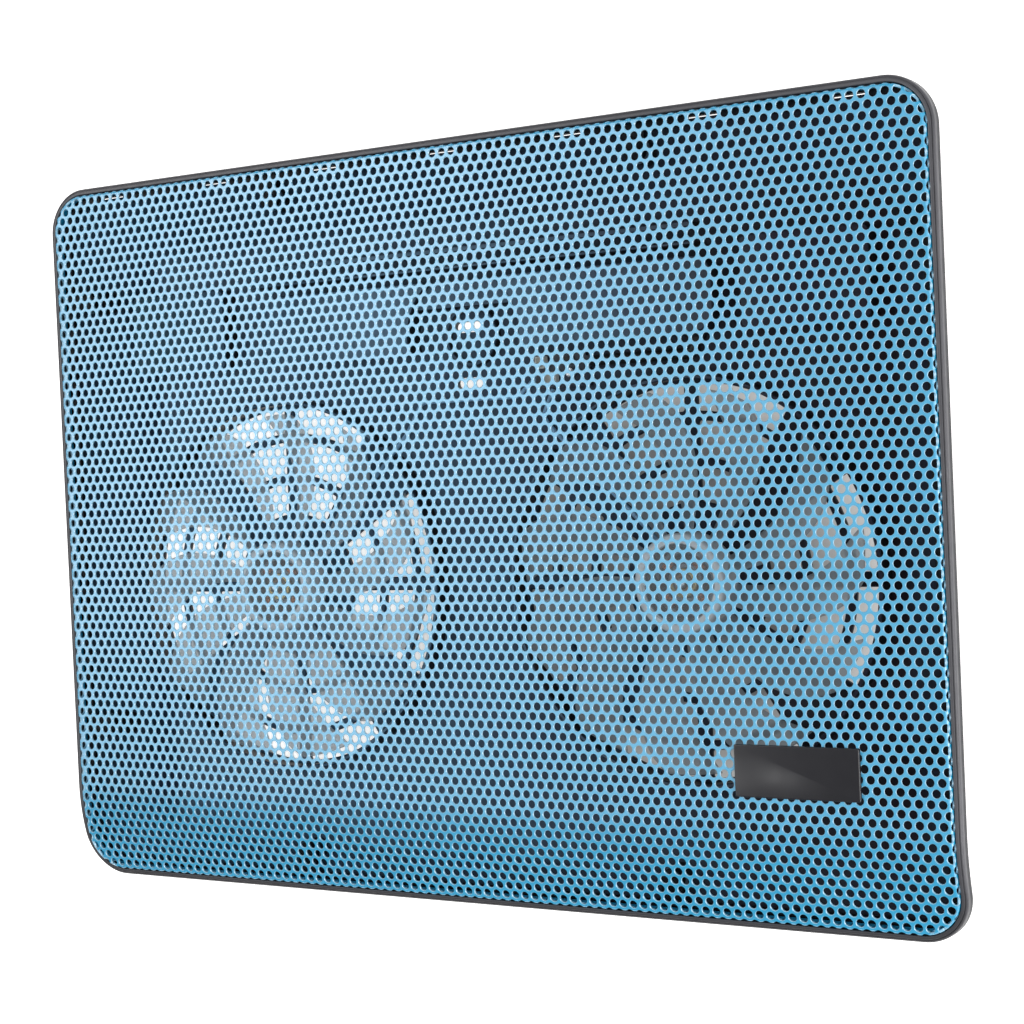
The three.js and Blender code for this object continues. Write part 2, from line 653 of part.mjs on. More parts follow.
// The leg folded flat: a wedge-shaped flap with its knuckle at the rear, about the pin.
function rearLeg() {
  const half = LEG_POCKET_WIDTH / 2 - 0.5;
  const length = LEG_PIN_Y - LEG_TIP_Y;
  const bottom = -(LEG_PIN_Z - FOOT_HEIGHT) + GAP;
  const profile = new THREE.Shape();
  profile.moveTo(0, bottom);
  profile.absarc(0, 0, -bottom, -Math.PI / 2, Math.PI / 2, false);
  profile.lineTo(-6, 2.6);
  profile.lineTo(-length + 0.8, 2);
  profile.lineTo(-length, 1.2);
  profile.lineTo(-length, bottom + 0.6);
  profile.lineTo(-length + 0.6, bottom);
  profile.lineTo(-length + 3, bottom);
  profile.lineTo(-length + 3.6, bottom + 0.8);
  profile.lineTo(-length + 4.8, bottom + 0.8);
  profile.lineTo(-length + 5.4, bottom);
  const geometry = extrude(profile, 2 * half, 10);
  geometry.translate(0, 0, -half).applyMatrix4(new THREE.Matrix4().makeBasis(
    new THREE.Vector3(0, 1, 0), new THREE.Vector3(0, 0, 1), new THREE.Vector3(1, 0, 0),
  ));
  const bore = alongX(LEG_PIN_RADIUS + GAP, -half - 1, half + 1, 0, 0, 16);
  const hollows = [-LEG_HOLLOW_X, LEG_HOLLOW_X].map((x) => box(
    x - LEG_HOLLOW_HALF_WIDTH, x + LEG_HOLLOW_HALF_WIDTH, -length + 5.8, -4.6, bottom + 1.4, 4,
  ));
  return toGeometry(toSolid(geometry).subtract(join(bore, ...hollows)));
}

function legPad() {
  return toGeometry(roundedBlock(-15, 15, -2.2, -0.1, -3, 0.9, 0.9, 2));
}

function legPin() {
  const half = LEG_POCKET_WIDTH / 2 + BAY_WALL - 0.1;
  return toGeometry(alongX(LEG_PIN_RADIUS, -half, half, 0, 0, 16));
}

// ---------------------------------------------------------------- fans, about the fan's own axis

// One blade: a thin curved plate that climbs from its leading edge to its trailing edge.
function blade(index) {
  const radialSteps = 3;
  const chordSteps = 3;
  const points = [];
  const layer = (radialSteps + 1) * (chordSteps + 1);
  for (const face of [0.5, -0.5]) {
    for (let i = 0; i <= radialSteps; i += 1) {
      const out = i / radialSteps;
      const radius = THREE.MathUtils.lerp(HUB_RADIUS - 0.8, ROTOR_RADIUS, out);
      for (let j = 0; j <= chordSteps; j += 1) {
        const along = j / chordSteps;
        const sweep = BLADE_SWEEP * out ** BLADE_SWEEP_POWER;
        const angle = (2 * Math.PI * index) / BLADES + sweep + (along - 0.5) * BLADE_SPAN;
        const rise = THREE.MathUtils.smoothstep(1 - along, -0.15, 1.15);
        const z = THREE.MathUtils.lerp(BLADE_BOTTOM + 0.7, BLADE_TOP - 0.7, rise) + face * BLADE_THICKNESS;
        points.push([radius * Math.cos(angle), radius * Math.sin(angle), z]);
      }
    }
  }
  const at = (i, j) => i * (chordSteps + 1) + j;
  const faces = [];
  for (let i = 0; i < radialSteps; i += 1) {
    for (let j = 0; j < chordSteps; j += 1) {
      const quad = [at(i, j), at(i + 1, j), at(i + 1, j + 1), at(i, j + 1)];
      faces.push([quad[0], quad[1], quad[2]], [quad[0], quad[2], quad[3]]);
      const low = quad.map((corner) => corner + layer);
      faces.push([low[0], low[2], low[1]], [low[0], low[3], low[2]]);
    }
  }
  const border = [];
  for (let j = 0; j < chordSteps; j += 1) border.push(at(0, j));
  for (let i = 0; i < radialSteps; i += 1) border.push(at(i, chordSteps));
  for (let j = chordSteps; j > 0; j -= 1) border.push(at(radialSteps, j));
  for (let i = radialSteps; i > 0; i -= 1) border.push(at(i, 0));
  border.forEach((corner, k) => {
    const next = border[(k + 1) % border.length];
    faces.push([corner, next, next + layer], [corner, next + layer, corner + layer]);
  });
  return toSolid(closedGeometry(points, faces));
}

function rotor(rest) {
  const wall = 1.3;
  const profile = [
    [0, HUB_TOP], [HUB_RADIUS - 2, HUB_TOP], [HUB_RADIUS - 0.6, HUB_TOP - 0.6], [HUB_RADIUS, HUB_TOP - 2],
    [HUB_RADIUS, HUB_BOTTOM], [HUB_RADIUS - wall, HUB_BOTTOM], [HUB_RADIUS - wall, HUB_TOP - wall],
    [SLEEVE_RADIUS + 0.1, HUB_TOP - wall], [SLEEVE_RADIUS + 0.1, HUB_TOP - 1.8],
    [SHAFT_RADIUS + GAP, HUB_TOP - 1.8], [SHAFT_RADIUS + GAP, HUB_TOP - 0.8], [0, HUB_TOP - 0.8],
  ];
  const cup = new THREE.LatheGeometry(profile.map(([r, z]) => new THREE.Vector2(r, z)), 24);
  const blades = Array.from({ length: BLADES }, (_, index) => blade(index));
  return toGeometry(join(toSolid(cup.rotateX(Math.PI / 2)), ...blades)).rotateZ(rest);
}

function ring(inner, outer, minZ, maxZ, sides) {
  return toGeometry(sleeve(inner, outer, minZ, maxZ, sides));
}

function bearingTube() {
  const bore = SLEEVE_RADIUS + GAP;
  const flange = sleeve(bore, TUBE_FLANGE_RADIUS, FLOOR_TOP, FLOOR_TOP + 0.5, 16);
  return toGeometry(flange.add(sleeve(bore, TUBE_RADIUS, FLOOR_TOP, TUBE_TOP, 16)));
}

// Four laminated poles on a ring, with curved shoes that face the magnet.
function statorCore() {
  const [low, high] = STATOR_HEIGHTS;
  const shoes = sleeve(STATOR_RADIUS - SHOE_THICKNESS, STATOR_RADIUS, low, high, 24);
  const shoe = shoes.intersect(box(4, STATOR_RADIUS + 1, -SHOE_WIDTH / 2, SHOE_WIDTH / 2, low - 1, high + 1));
  const neck = box(TUBE_RADIUS + 1, STATOR_RADIUS - 0.5, -POLE_WIDTH / 2, POLE_WIDTH / 2, low, high);
  const pole = neck.add(shoe);
  const turns = Array.from({ length: POLES }, (_, k) => pole.rotate([0, 0, 45 + (360 * k) / POLES]));
  return toGeometry(join(sleeve(TUBE_RADIUS + GAP, TUBE_RADIUS + 1.4, low, high, 16), ...turns));
}

// One winding, a square ring round a pole with GAP all round it.
function coil(index) {
  const middle = (STATOR_HEIGHTS[0] + STATOR_HEIGHTS[1]) / 2;
  const halfWidth = POLE_WIDTH / 2 + GAP;
  const halfHeight = (STATOR_HEIGHTS[1] - STATOR_HEIGHTS[0]) / 2 + GAP;
  const wire = 0.7;
  const end = COIL_START + COIL_LENGTH;
  const layer = (margin, inset) => box(
    COIL_START - inset, end + inset, -halfWidth - margin, halfWidth + margin,
    middle - halfHeight - margin, middle + halfHeight + margin,
  );
  return toGeometry(layer(wire, 0).subtract(layer(0, 1)).rotate([0, 0, 45 + (360 * index) / POLES]));
}

function motorBoard() {
  const [low, high] = MOTOR_BOARD_HEIGHTS;
  const notch = box(-1.2, 1.2, MOTOR_BOARD_RADIUS - 1.6, MOTOR_BOARD_RADIUS + 1, low - 1, high + 1);
  return toGeometry(sleeve(TUBE_RADIUS + GAP, MOTOR_BOARD_RADIUS, low, high, 24).subtract(notch));
}

// The lead's path from the motor board, out along a diagonal arm of the grille, to the power board.
function fanLead(sign) {
  const diagonal = (radius) => [sign * (FAN_X - radius * Math.SQRT1_2), FAN_Y + radius * Math.SQRT1_2];
  const corners = sign > 0
    ? [diagonal(13), diagonal(70), [25, 33], [29, 41.2]]
    : [diagonal(13), diagonal(70), [-21, 39.6], [16, 39.6], [22.7, 45]];
  return tube(roundedPath(corners, 3, FLOOR_TOP + LEAD_RADIUS + 0.1, 2), LEAD_RADIUS, 6);
}

// ---------------------------------------------------------------- cable and power board

// The board with its two lead sockets and its capacitor.
function powerBoard() {
  const top = FLOOR_TOP + BOARD_THICKNESS;
  const board = box(...BOARD_X, ...BOARD_Y, FLOOR_TOP, top);
  const part = (minX, maxX, minY, maxY) => box(minX, maxX, minY, maxY, top - 0.2, top + BOARD_PART_HEIGHT);
  const parts = [part(26.5, 31.5, 43.5, 46.5), part(24, 27, 48.6, 51.6), part(34, 38, 44, 46.6)];
  return toGeometry(join(board, ...parts));
}

function usbCable() {
  const [near, middle, far] = CABLE_RUNS_Y;
  const start = [BOARD_X[1] + 0.4, BOARD_Y[1] - 3.3];
  const corners = [
    start, [GROMMET_X, start[1]], [GROMMET_X, near], [CABLE_TURN_X, near], [CABLE_TURN_X, middle],
    [GROMMET_X, middle], [GROMMET_X, far], [CABLE_DROP_X, far], [-31, middle],
    [PLUG_GRIP_X[1] + 0.4, middle],
  ];
  return tube(roundedPath(corners, CABLE_TURN_RADIUS, CABLE_Z, 3), CABLE_RADIUS, 8);
}

function plugGrip() {
  const middle = CABLE_RUNS_Y[1];
  const bodyEnd = PLUG_GRIP_X[1];
  const body = roundedBlock(...PLUG_GRIP_X, ...PLUG_GRIP_Y, FOOT_HEIGHT + 0.4, BAY_TOP - 0.4, 2.4);
  const neck = alongX(PLUG_NECK_RADIUS, bodyEnd - 0.1, PLUG_NECK_END, middle, CABLE_Z, 16);
  const bore = alongX(CABLE_RADIUS + GAP, bodyEnd - 2.2, PLUG_NECK_END + 1, middle, CABLE_Z, 12);
  return toGeometry(body.add(neck).subtract(bore));
}

function plugShell() {
  const wall = PLUG_SHELL_WALL;
  const [minX, maxX] = PLUG_SHELL_X;
  const [minY, maxY] = PLUG_SHELL_Y;
  const [minZ, maxZ] = PLUG_SHELL_Z;
  const inside = box(minX - 1, maxX - PLUG_SHELL_BACK, minY + wall, maxY - wall, minZ + wall, maxZ - wall);
  return toGeometry(box(minX, maxX, minY, maxY, minZ, maxZ).subtract(inside));
}

function plugTongue() {
  const inset = PLUG_SHELL_WALL + 0.2;
  const front = PLUG_SHELL_X[0] + PLUG_SHELL_WALL;
  const back = PLUG_SHELL_X[1] - PLUG_SHELL_BACK - 0.1;
  const [minY, maxY] = PLUG_SHELL_Y;
  const top = PLUG_SHELL_Z[1] - inset;
  return toGeometry(box(front, back, minY + inset, maxY - inset, top - PLUG_TONGUE_THICKNESS, top));
}

function cableGrommet() {
  const middle = BAY_FRONT - BAY_WALL / 2;
  const body = alongY(CABLE_RADIUS + 1.4, middle - 2, middle + 2, GROMMET_X, CABLE_Z);
  return toGeometry(body.subtract(alongY(CABLE_RADIUS + GAP, middle - 3, middle + 3, GROMMET_X, CABLE_Z)));
}

function trayScrew(towerBottom) {
  const seat = screwSeat(towerBottom);
  const head = upright(SCREW_HEAD_RADIUS, seat - SCREW_HEAD_HEIGHT, seat, 0, 0, 12);
  const drive = upright(SCREW_HEAD_RADIUS / 2, seat - 2, seat - 0.7, 0, 0, 6);
  const shank = upright(SCREW_RADIUS, seat - 0.2, seat + SCREW_LENGTH, 0, 0, 8);
  return toGeometry(head.subtract(drive).add(shank));
}

// ---------------------------------------------------------------- assembly

function place(parent, name, geometry, look, x = 0, y = 0, z = 0) {
  const mesh = new THREE.Mesh(geometry, look);
  mesh.name = name;
  mesh.position.set(x, y, z);
  parent.add(mesh);
}

function addTop(pad) {
  place(pad, 'mesh_panel', meshPanel(), finish.bluePaint);
  place(pad, 'top_frame', topFrame(), finish.rimAbs);
  place(pad, 'name_plate', namePlate(), finish.plate);
}

function addFan(pad, side, sign) {
  const fan = new THREE.Group();
  fan.position.set(sign * FAN_X, FAN_Y, 0);
  const put = (name, geometry, look) => place(fan, `${side}_${name}`, geometry, look);
  const bore = SHAFT_RADIUS + GAP;
  put('rotor', rotor(ROTOR_REST[side]), finish.clearPlastic);
  put('rotor_yoke', ring(MAGNET_OUTER + GAP, YOKE_OUTER, ...YOKE_HEIGHTS, 24), finish.steel);
  put('rotor_magnet', ring(MAGNET_INNER, MAGNET_OUTER, ...MAGNET_HEIGHTS, 24), finish.magnet);
  put('shaft', toGeometry(upright(SHAFT_RADIUS, FLOOR_TOP + 0.1, SHAFT_TOP, 0, 0, 12)), finish.steel);
  put('shaft_clip', ring(bore, CLIP_RADIUS, FLOOR_TOP + 0.3, FLOOR_TOP + 0.8, 12), finish.nylon);
  put('bearing_tube', bearingTube(), finish.brass);
  put('bearing_sleeve', ring(bore, SLEEVE_RADIUS, ...SLEEVE_HEIGHTS, 16), finish.bronze);
  put('stator_core', statorCore(), finish.steel);
  put('motor_board', motorBoard(), finish.board);
  for (let index = 0; index < POLES; index += 1) {
    put(`coil_${index + 1}`, coil(index), finish.copper);
  }
  pad.add(fan);
  place(pad, `${side}_fan_lead`, fanLead(sign), finish.lead);
}

function addRearLeg(pad, side, sign) {
  place(pad, `${side}_rear_leg`, rearLeg(), finish.darkAbs, sign * LEG_X, LEG_PIN_Y, LEG_PIN_Z);
  place(pad, `${side}_leg_pad`, legPad(), finish.rubber, sign * LEG_X, LEG_TIP_Y, LEG_PIN_Z);
  place(pad, `${side}_leg_pin`, legPin(), finish.steel, sign * LEG_X, LEG_PIN_Y, LEG_PIN_Z);
}

function addFeet(pad, side, sign) {
  place(pad, `${side}_front_foot`, rubberFoot(), finish.rubber, sign * FRONT_FOOT_X, FRONT_FOOT_Y);
  place(pad, `${side}_rear_foot`, rubberFoot(), finish.rubber, sign * LEG_X, REAR_FOOT_Y);
}

function addCable(pad) {
  place(pad, 'power_board', powerBoard(), finish.board);
  place(pad, 'usb_cable', usbCable(), finish.cable);
  place(pad, 'cable_grommet', cableGrommet(), finish.rubber);
  place(pad, 'usb_plug_grip', plugGrip(), finish.cable);
  place(pad, 'usb_plug_shell', plugShell(), finish.steel);
  place(pad, 'usb_plug_tongue', plugTongue(), finish.nylon);
}

const coolingPad = new THREE.Group();
addTop(coolingPad);
place(coolingPad, 'base_tray', baseTray(), finish.darkAbs);
for (const [side, sign] of [['left', -1], ['right', 1]]) {
  addFan(coolingPad, side, sign);
  addRearLeg(coolingPad, side, sign);
  addFeet(coolingPad, side, sign);
}
addCable(coolingPad);
screwSpots().forEach(({ x, y, towerBottom }, index) => {
  place(coolingPad, `tray_screw_${index + 1}`, trayScrew(towerBottom), finish.steel, x, y);
});

export default coolingPad;
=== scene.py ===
import math

import bmesh
import bpy
import numpy as np
from mathutils import Matrix, Vector, kdtree
from mathutils.geometry import delaunay_2d_cdt

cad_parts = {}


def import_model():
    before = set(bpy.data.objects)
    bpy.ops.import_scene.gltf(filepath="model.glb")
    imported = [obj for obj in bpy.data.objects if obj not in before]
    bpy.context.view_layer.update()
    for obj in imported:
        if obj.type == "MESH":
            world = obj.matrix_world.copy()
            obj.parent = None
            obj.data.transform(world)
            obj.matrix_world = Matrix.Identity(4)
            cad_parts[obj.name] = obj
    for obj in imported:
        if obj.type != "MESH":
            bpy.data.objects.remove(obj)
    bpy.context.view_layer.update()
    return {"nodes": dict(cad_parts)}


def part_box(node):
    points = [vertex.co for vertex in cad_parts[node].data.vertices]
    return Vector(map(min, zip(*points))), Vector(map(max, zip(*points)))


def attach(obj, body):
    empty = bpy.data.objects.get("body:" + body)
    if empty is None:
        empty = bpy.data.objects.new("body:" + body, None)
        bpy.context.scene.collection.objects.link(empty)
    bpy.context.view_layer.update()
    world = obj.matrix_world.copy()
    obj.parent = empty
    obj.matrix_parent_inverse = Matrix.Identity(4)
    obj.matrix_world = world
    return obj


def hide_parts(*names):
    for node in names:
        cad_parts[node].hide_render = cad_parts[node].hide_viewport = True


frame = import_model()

# A laptop cooling pad. Lengths in this file are millimetres until mesh_object() turns them into metres.
MM = 0.001


def node_box(node):
    """Lowest and highest corner of a CAD node, in millimetres."""
    low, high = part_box(node)
    return np.array(low) / MM, np.array(high) / MM


# ---------------------------------------------------------------- driving dimensions

rim_low, rim_high = node_box("top_frame")
sheet_low, sheet_high = node_box("mesh_panel")
tray_low, tray_high = node_box("base_tray")

HALF_WIDTH = rim_high[0]
HALF_DEPTH = rim_high[1]
CORNER_RADIUS = 15
MESH_TOP = sheet_high[2]
FLOOR_BOTTOM = tray_low[2]
FLOOR_THICKNESS = 2
FLOOR_TOP = FLOOR_BOTTOM + FLOOR_THICKNESS
GAP = 0.3

BEND_START = -88
BEND_RADIUS = 68
BEND_ANGLE = math.radians(14.75)

SHEET_INSET = HALF_WIDTH - sheet_high[0]
SHEET_THICKNESS = 0.8
FLANGE = 2.6
FOLD_RADIUS = 1

HOLE_PITCH = 3.5
ROW_PITCH = HOLE_PITCH * math.sqrt(3) / 2
ROWS = 78
LATTICE_CENTRE = (0.7, -0.3)
HOLE_RADIUS = 1.27
HOLE_MOUTH = 1.43
HOLE_EDGE_DEPTH = 0.22
HOLE_SIDES = 12

LEDGE_TOP = 4.2
LEDGE_BOTTOM = 5.6
LEDGE_INSET = 6
WALL_BOTTOM = 4.9
LIP_WIDTH = 2

FAN_X = 76.5
FAN_Y = -19.5
OPENING_RADIUS = 60
SHROUD_TOP = 12


# ---------------------------------------------------------------- the rolled front

def front_drop(y):
    """How far the top has dropped at y, seen from above."""
    ahead = np.maximum(BEND_START - np.asarray(y, float), 0)
    reach = BEND_RADIUS * math.sin(BEND_ANGLE)
    rolled = BEND_RADIUS - np.sqrt(BEND_RADIUS**2 - np.minimum(ahead, reach) ** 2)
    return rolled + np.maximum(ahead - reach, 0) * math.tan(BEND_ANGLE)


def flat_y(y):
    """The place, on the unrolled sheet, of a point in front of the bend that ends up at y."""
    beyond = BEND_START - y - BEND_RADIUS * math.sin(BEND_ANGLE)
    return BEND_START - BEND_RADIUS * BEND_ANGLE - beyond / math.cos(BEND_ANGLE)


def roll_front(x, y, height):
    """Rolls points of the flat sheet, at a height above it, down over the front bend."""
    along = np.maximum(BEND_START - y, 0)
    arc = BEND_RADIUS * BEND_ANGLE
    angle = np.minimum(along, arc) / BEND_RADIUS
    straight = np.maximum(along - arc, 0)
    level = np.maximum(y, BEND_START)
    new_y = level - BEND_RADIUS * np.sin(angle) - straight * np.cos(angle) - height * np.sin(angle)
    new_z = BEND_RADIUS * (np.cos(angle) - 1) - straight * np.sin(angle) + height * np.cos(angle)
    return np.column_stack([x, new_y, MESH_TOP + new_z])


# ---------------------------------------------------------------- mesh helpers

def mesh_object(name, points, faces, sharp=32, recalculate=True):
    """A mesh object from points in millimetres, shaded smooth with sharp edges above an angle in degrees."""
    mesh = bpy.data.meshes.new(name)
    mesh.from_pydata((np.asarray(points, float) * MM).tolist(), [], faces)
    if recalculate:
        work = bmesh.new()
        work.from_mesh(mesh)
        bmesh.ops.recalc_face_normals(work, faces=work.faces)
        work.to_mesh(mesh)
        work.free()
    obj = bpy.data.objects.new(name, mesh)
    bpy.context.scene.collection.objects.link(obj)
    shade(obj, sharp)
    return obj


def shade(obj, sharp):
    obj.data.polygons.foreach_set("use_smooth", [True] * len(obj.data.polygons))
    obj.data.set_sharp_from_angle(angle=math.radians(sharp))


def rings_to_faces(count, around, closed):
    """Quads between count rings of around points each; closed joins the last ring to the first."""
    faces = []
    for i in range(count if closed else count - 1):
        low, high = i * around, (i + 1) % count * around
        for k in range(around):
            after = (k + 1) % around
            faces.append((low + k, low + after, high + after, high + k))
    return faces


def loft(name, rings, closed=False, sharp=32):
    """A closed skin through rings of points. An open stack of rings is capped at both ends."""
    around = len(rings[0])
    faces = rings_to_faces(len(rings), around, closed)
    if not closed:
        faces.append(tuple(range(around)))
        faces.append(tuple(range((len(rings) - 1) * around, len(rings) * around)))
    return mesh_object(name, np.concatenate(rings), faces, sharp)


def lathe(name, profile, sides=64, centre=(0, 0), closed=True):
    """A solid of revolution about a vertical axis from a profile of (radius, height)."""
    turn = np.arange(sides) * 2 * math.pi / sides
    rings = []
    for radius, height in profile:
        ring = np.column_stack([radius * np.cos(turn), radius * np.sin(turn), np.full(sides, height)])
        rings.append(ring + (*centre, 0))
    return loft(name, rings, closed)


def combine(target, tool, operation):
    """Joins tool to target, or cuts it away, and deletes it."""
    modifier = target.modifiers.new("solid", "BOOLEAN")
    modifier.operation = operation
    modifier.solver = "MANIFOLD"
    modifier.object = tool
    result = bpy.data.meshes.new_from_object(target.evaluated_get(bpy.context.evaluated_depsgraph_get()))
    target.modifiers.clear()
    target.data = result
    bpy.data.objects.remove(tool)
    return target


def add(target, *tools):
    for tool in tools:
        combine(target, tool, "UNION")
    return target


def cut(target, *tools):
    for tool in tools:
        combine(target, tool, "DIFFERENCE")
    return target


def merged(name, objects):
    """One object from several that don't touch one another."""
    work = bmesh.new()
    for obj in objects:
        part = obj.data.copy()
        part.transform(obj.matrix_world)
        work.from_mesh(part)
        bpy.data.objects.remove(obj)
    mesh = bpy.data.meshes.new(name)
    work.to_mesh(mesh)
    work.free()
    obj = bpy.data.objects.new(name, mesh)
    bpy.context.scene.collection.objects.link(obj)
    return obj


def rounded_outline(half_width, rear, front, radius, steps=16, stations=()):
    """A rounded rectangle, anticlockwise from the right-hand end of the rear edge's corner.
    stations are shares of each long side, from rear to front, that also get a point."""
    points = []
    corners = [
        (half_width - radius, rear - radius, 0), (-half_width + radius, rear - radius, 90),
        (-half_width + radius, front + radius, 180), (half_width - radius, front + radius, 270),
    ]
    for index, (x, y, start) in enumerate(corners):
        for k in range(steps + 1):
            angle = math.radians(start + 90 * k / steps)
            points.append((x + radius * math.cos(angle), y + radius * math.sin(angle)))
        if index == 1:
            points += [(-half_width, rear - radius + (front - rear + 2 * radius) * t) for t in stations]
        if index == 3:
            points += [(half_width, rear - radius + (front - rear + 2 * radius) * t) for t in reversed(stations)]
    return np.array(points)


def offset_outline(outline, distance):
    """An anticlockwise outline moved outwards, its corners mitred."""
    ahead = np.roll(outline, -1, axis=0) - outline
    ahead /= np.linalg.norm(ahead, axis=1)[:, None]
    outward = np.column_stack([ahead[:, 1], -ahead[:, 0]])
    middle = outward + np.roll(outward, 1, axis=0)
    middle /= np.maximum((middle * outward).sum(1), 0.4)[:, None]
    return outline + distance * middle


def at_height(outline, height):
    return np.column_stack([outline, np.full(len(outline), height)])


def quarter(steps):
    """Points (out, in) of a quarter circle, from (1, 0) to (0, 1)."""
    angles = np.linspace(0, math.pi / 2, steps + 1)
    return [(math.cos(a), math.sin(a)) for a in angles]


def slab(name, outline, low, high, round_low=0.0, round_high=0.0, steps=3, sharp=32):
    """An upright slab with rounded lower and upper edges."""
    def edge(height, radius, up):
        """Rings round one edge, from the wall to the face. up is 1 for the upper edge and -1 for the lower."""
        if not radius:
            return [at_height(outline, height)]
        return [
            at_height(offset_outline(outline, -radius * (1 - out)), height - up * radius * (1 - inside))
            for out, inside in quarter(steps)
        ]

    return loft(name, edge(low, round_low, -1)[::-1] + edge(high, round_high, 1), sharp=sharp)


def box_outline(min_x, max_x, min_y, max_y, radius=0.0, steps=4):
    if not radius:
        return np.array([(max_x, min_y), (max_x, max_y), (min_x, max_y), (min_x, min_y)], float)
    outline = rounded_outline((max_x - min_x) / 2, (max_y - min_y) / 2, (min_y - max_y) / 2, radius, steps)
    return outline + ((min_x + max_x) / 2, (min_y + max_y) / 2)


def block(name, min_x, max_x, min_y, max_y, low, high, radius=0.0, round_low=0.0, round_high=0.0):
    outline = box_outline(min_x, max_x, min_y, max_y, radius)
    return slab(name, outline, low, high, round_low, round_high)


def upright(name, radius, low, high, x, y, sides=32, edge=0.0):
    turn = np.arange(sides) * 2 * math.pi / sides
    outline = np.column_stack([x + radius * np.cos(turn), y + radius * np.sin(turn)])
    return slab(name, outline, low, high, edge, edge, 2)


def tube(name, path, radius, sides=12):
    """A round bar along a path of points, with slightly rounded ends."""
    path = np.asarray(path, float)
    ahead = np.gradient(path, axis=0)
    ahead /= np.linalg.norm(ahead, axis=1)[:, None]
    rings = []
    side = np.cross((0, 0, 1.0), ahead[0])
    if np.linalg.norm(side) < 1e-6:
        side = np.array((1.0, 0, 0))
    for point, forward in zip(path, ahead):
        side = side - forward * side.dot(forward)
        side /= np.linalg.norm(side)
        rise = np.cross(forward, side)
        turn = np.arange(sides) * 2 * math.pi / sides
        rings.append(point + radius * (np.outer(np.cos(turn), side) + np.outer(np.sin(turn), rise)))
    first = path[0] + (rings[0] - path[0]) * 0.8
    last = path[-1] + (rings[-1] - path[-1]) * 0.8
    rings[0] = rings[0] + ahead[0] * radius * 0.2
    rings[-1] = rings[-1] - ahead[-1] * radius * 0.2
    return loft(name, [first, *rings, last], sharp=50)


def rounded_path(corners, radius, steps=10):
    """Straight runs joined by round corners."""
    corners = [np.array(corner, float) for corner in corners]
    path = [corners[0]]
    for before, corner, after in zip(corners, corners[1:], corners[2:]):
        back = (before - corner) / np.linalg.norm(before - corner)
        ahead = (after - corner) / np.linalg.norm(after - corner)
        half = math.acos(np.clip(back.dot(ahead), -1, 1)) / 2
        reach = radius / math.tan(half)
        middle = corner + (back + ahead) / np.linalg.norm(back + ahead) * radius / math.sin(half)
        start, end = corner + back * reach - middle, corner + ahead * reach - middle
        span = math.acos(np.clip(start.dot(end) / radius**2, -1, 1))
        for k in range(steps + 1):
            share = k / steps
            spoke = (math.sin((1 - share) * span) * start + math.sin(share * span) * end) / math.sin(span)
            path.append(middle + spoke)
    path.append(corners[-1])
    return np.array(path)


# ---------------------------------------------------------------- perforated sheet

SHEET_BACK = HALF_DEPTH - SHEET_INSET - FOLD_RADIUS
SHEET_FRONT = flat_y(-(HALF_DEPTH - SHEET_INSET - FOLD_RADIUS) - FOLD_RADIUS * math.sin(BEND_ANGLE))
SHEET_HALF = HALF_WIDTH - SHEET_INSET - FOLD_RADIUS
SHEET_CORNER = CORNER_RADIUS - SHEET_INSET - FOLD_RADIUS
FOLD_ARC = FOLD_RADIUS * math.pi / 2


def fold_line(points):
    """For points of the flat blank: nearest point of the fold line, outward normal and distance out."""
    centre = np.array((0, (SHEET_BACK + SHEET_FRONT) / 2))
    half = np.array((SHEET_HALF, (SHEET_BACK - SHEET_FRONT) / 2)) - SHEET_CORNER
    sign = np.where(points >= centre, 1.0, -1.0)
    beyond = np.abs(points - centre) - half
    corner = (beyond > 0).all(1)
    normal = np.where((beyond[:, 0] > beyond[:, 1])[:, None], (1.0, 0.0), (0.0, 1.0))
    length = np.maximum(np.linalg.norm(beyond, axis=1), 1e-9)
    normal[corner] = (beyond / length[:, None])[corner]
    out = np.where(corner, length, beyond.max(1)) - SHEET_CORNER
    normal = normal * sign
    return points - normal * out[:, None], normal, out


def form_sheet(points, depth):
    """Bends the flat blank: folds its edge down, then rolls its front. depth is measured into the steel."""
    foot, normal, out = fold_line(points)
    angle = np.clip(out, 0, FOLD_ARC) / FOLD_RADIUS
    reach = (FOLD_RADIUS - depth) * np.sin(angle)
    height = (FOLD_RADIUS - depth) * np.cos(angle) - FOLD_RADIUS - np.maximum(out - FOLD_ARC, 0)
    flat = np.where((out > 0)[:, None], foot + normal * reach[:, None], points)
    return roll_front(flat[:, 0], flat[:, 1], height)


def blank_loop(out, spacing=3.0):
    """The blank's outline, at a distance outside the fold line."""
    radius = SHEET_CORNER + out
    corners = rounded_outline(SHEET_HALF + out, SHEET_BACK + out, SHEET_FRONT - out, radius, 20)
    loop = []
    for start, end in zip(corners, np.roll(corners, -1, axis=0)):
        pieces = max(1, int(np.linalg.norm(end - start) / spacing))
        loop += [start + (end - start) * k / pieces for k in range(pieces)]
    return np.array(loop)


def hole_lattice():
    """Centres of every hole whose edge is clear of the blank's edge, with the row each is in."""
    centres, rows = [], []
    reach = int(HALF_WIDTH / HOLE_PITCH) + 2
    for row in range(-3, ROWS + 3):
        y = LATTICE_CENTRE[1] + ((ROWS - 1) / 2 - row) * ROW_PITCH
        shift = 0.75 if row % 2 == 0 else 0.25
        for column in range(-reach, reach):
            centres.append((LATTICE_CENTRE[0] + (column + shift) * HOLE_PITCH, y))
            rows.append(row)
    centres, rows = np.array(centres), np.array(rows)
    out = fold_line(centres)[2]
    inside = out < FOLD_ARC + FLANGE - HOLE_MOUTH - 0.3
    return centres, rows, inside, out


def circle(centre, radius):
    turn = np.arange(HOLE_SIDES) * 2 * math.pi / HOLE_SIDES
    return centre + radius * np.column_stack([np.cos(turn), np.sin(turn)])


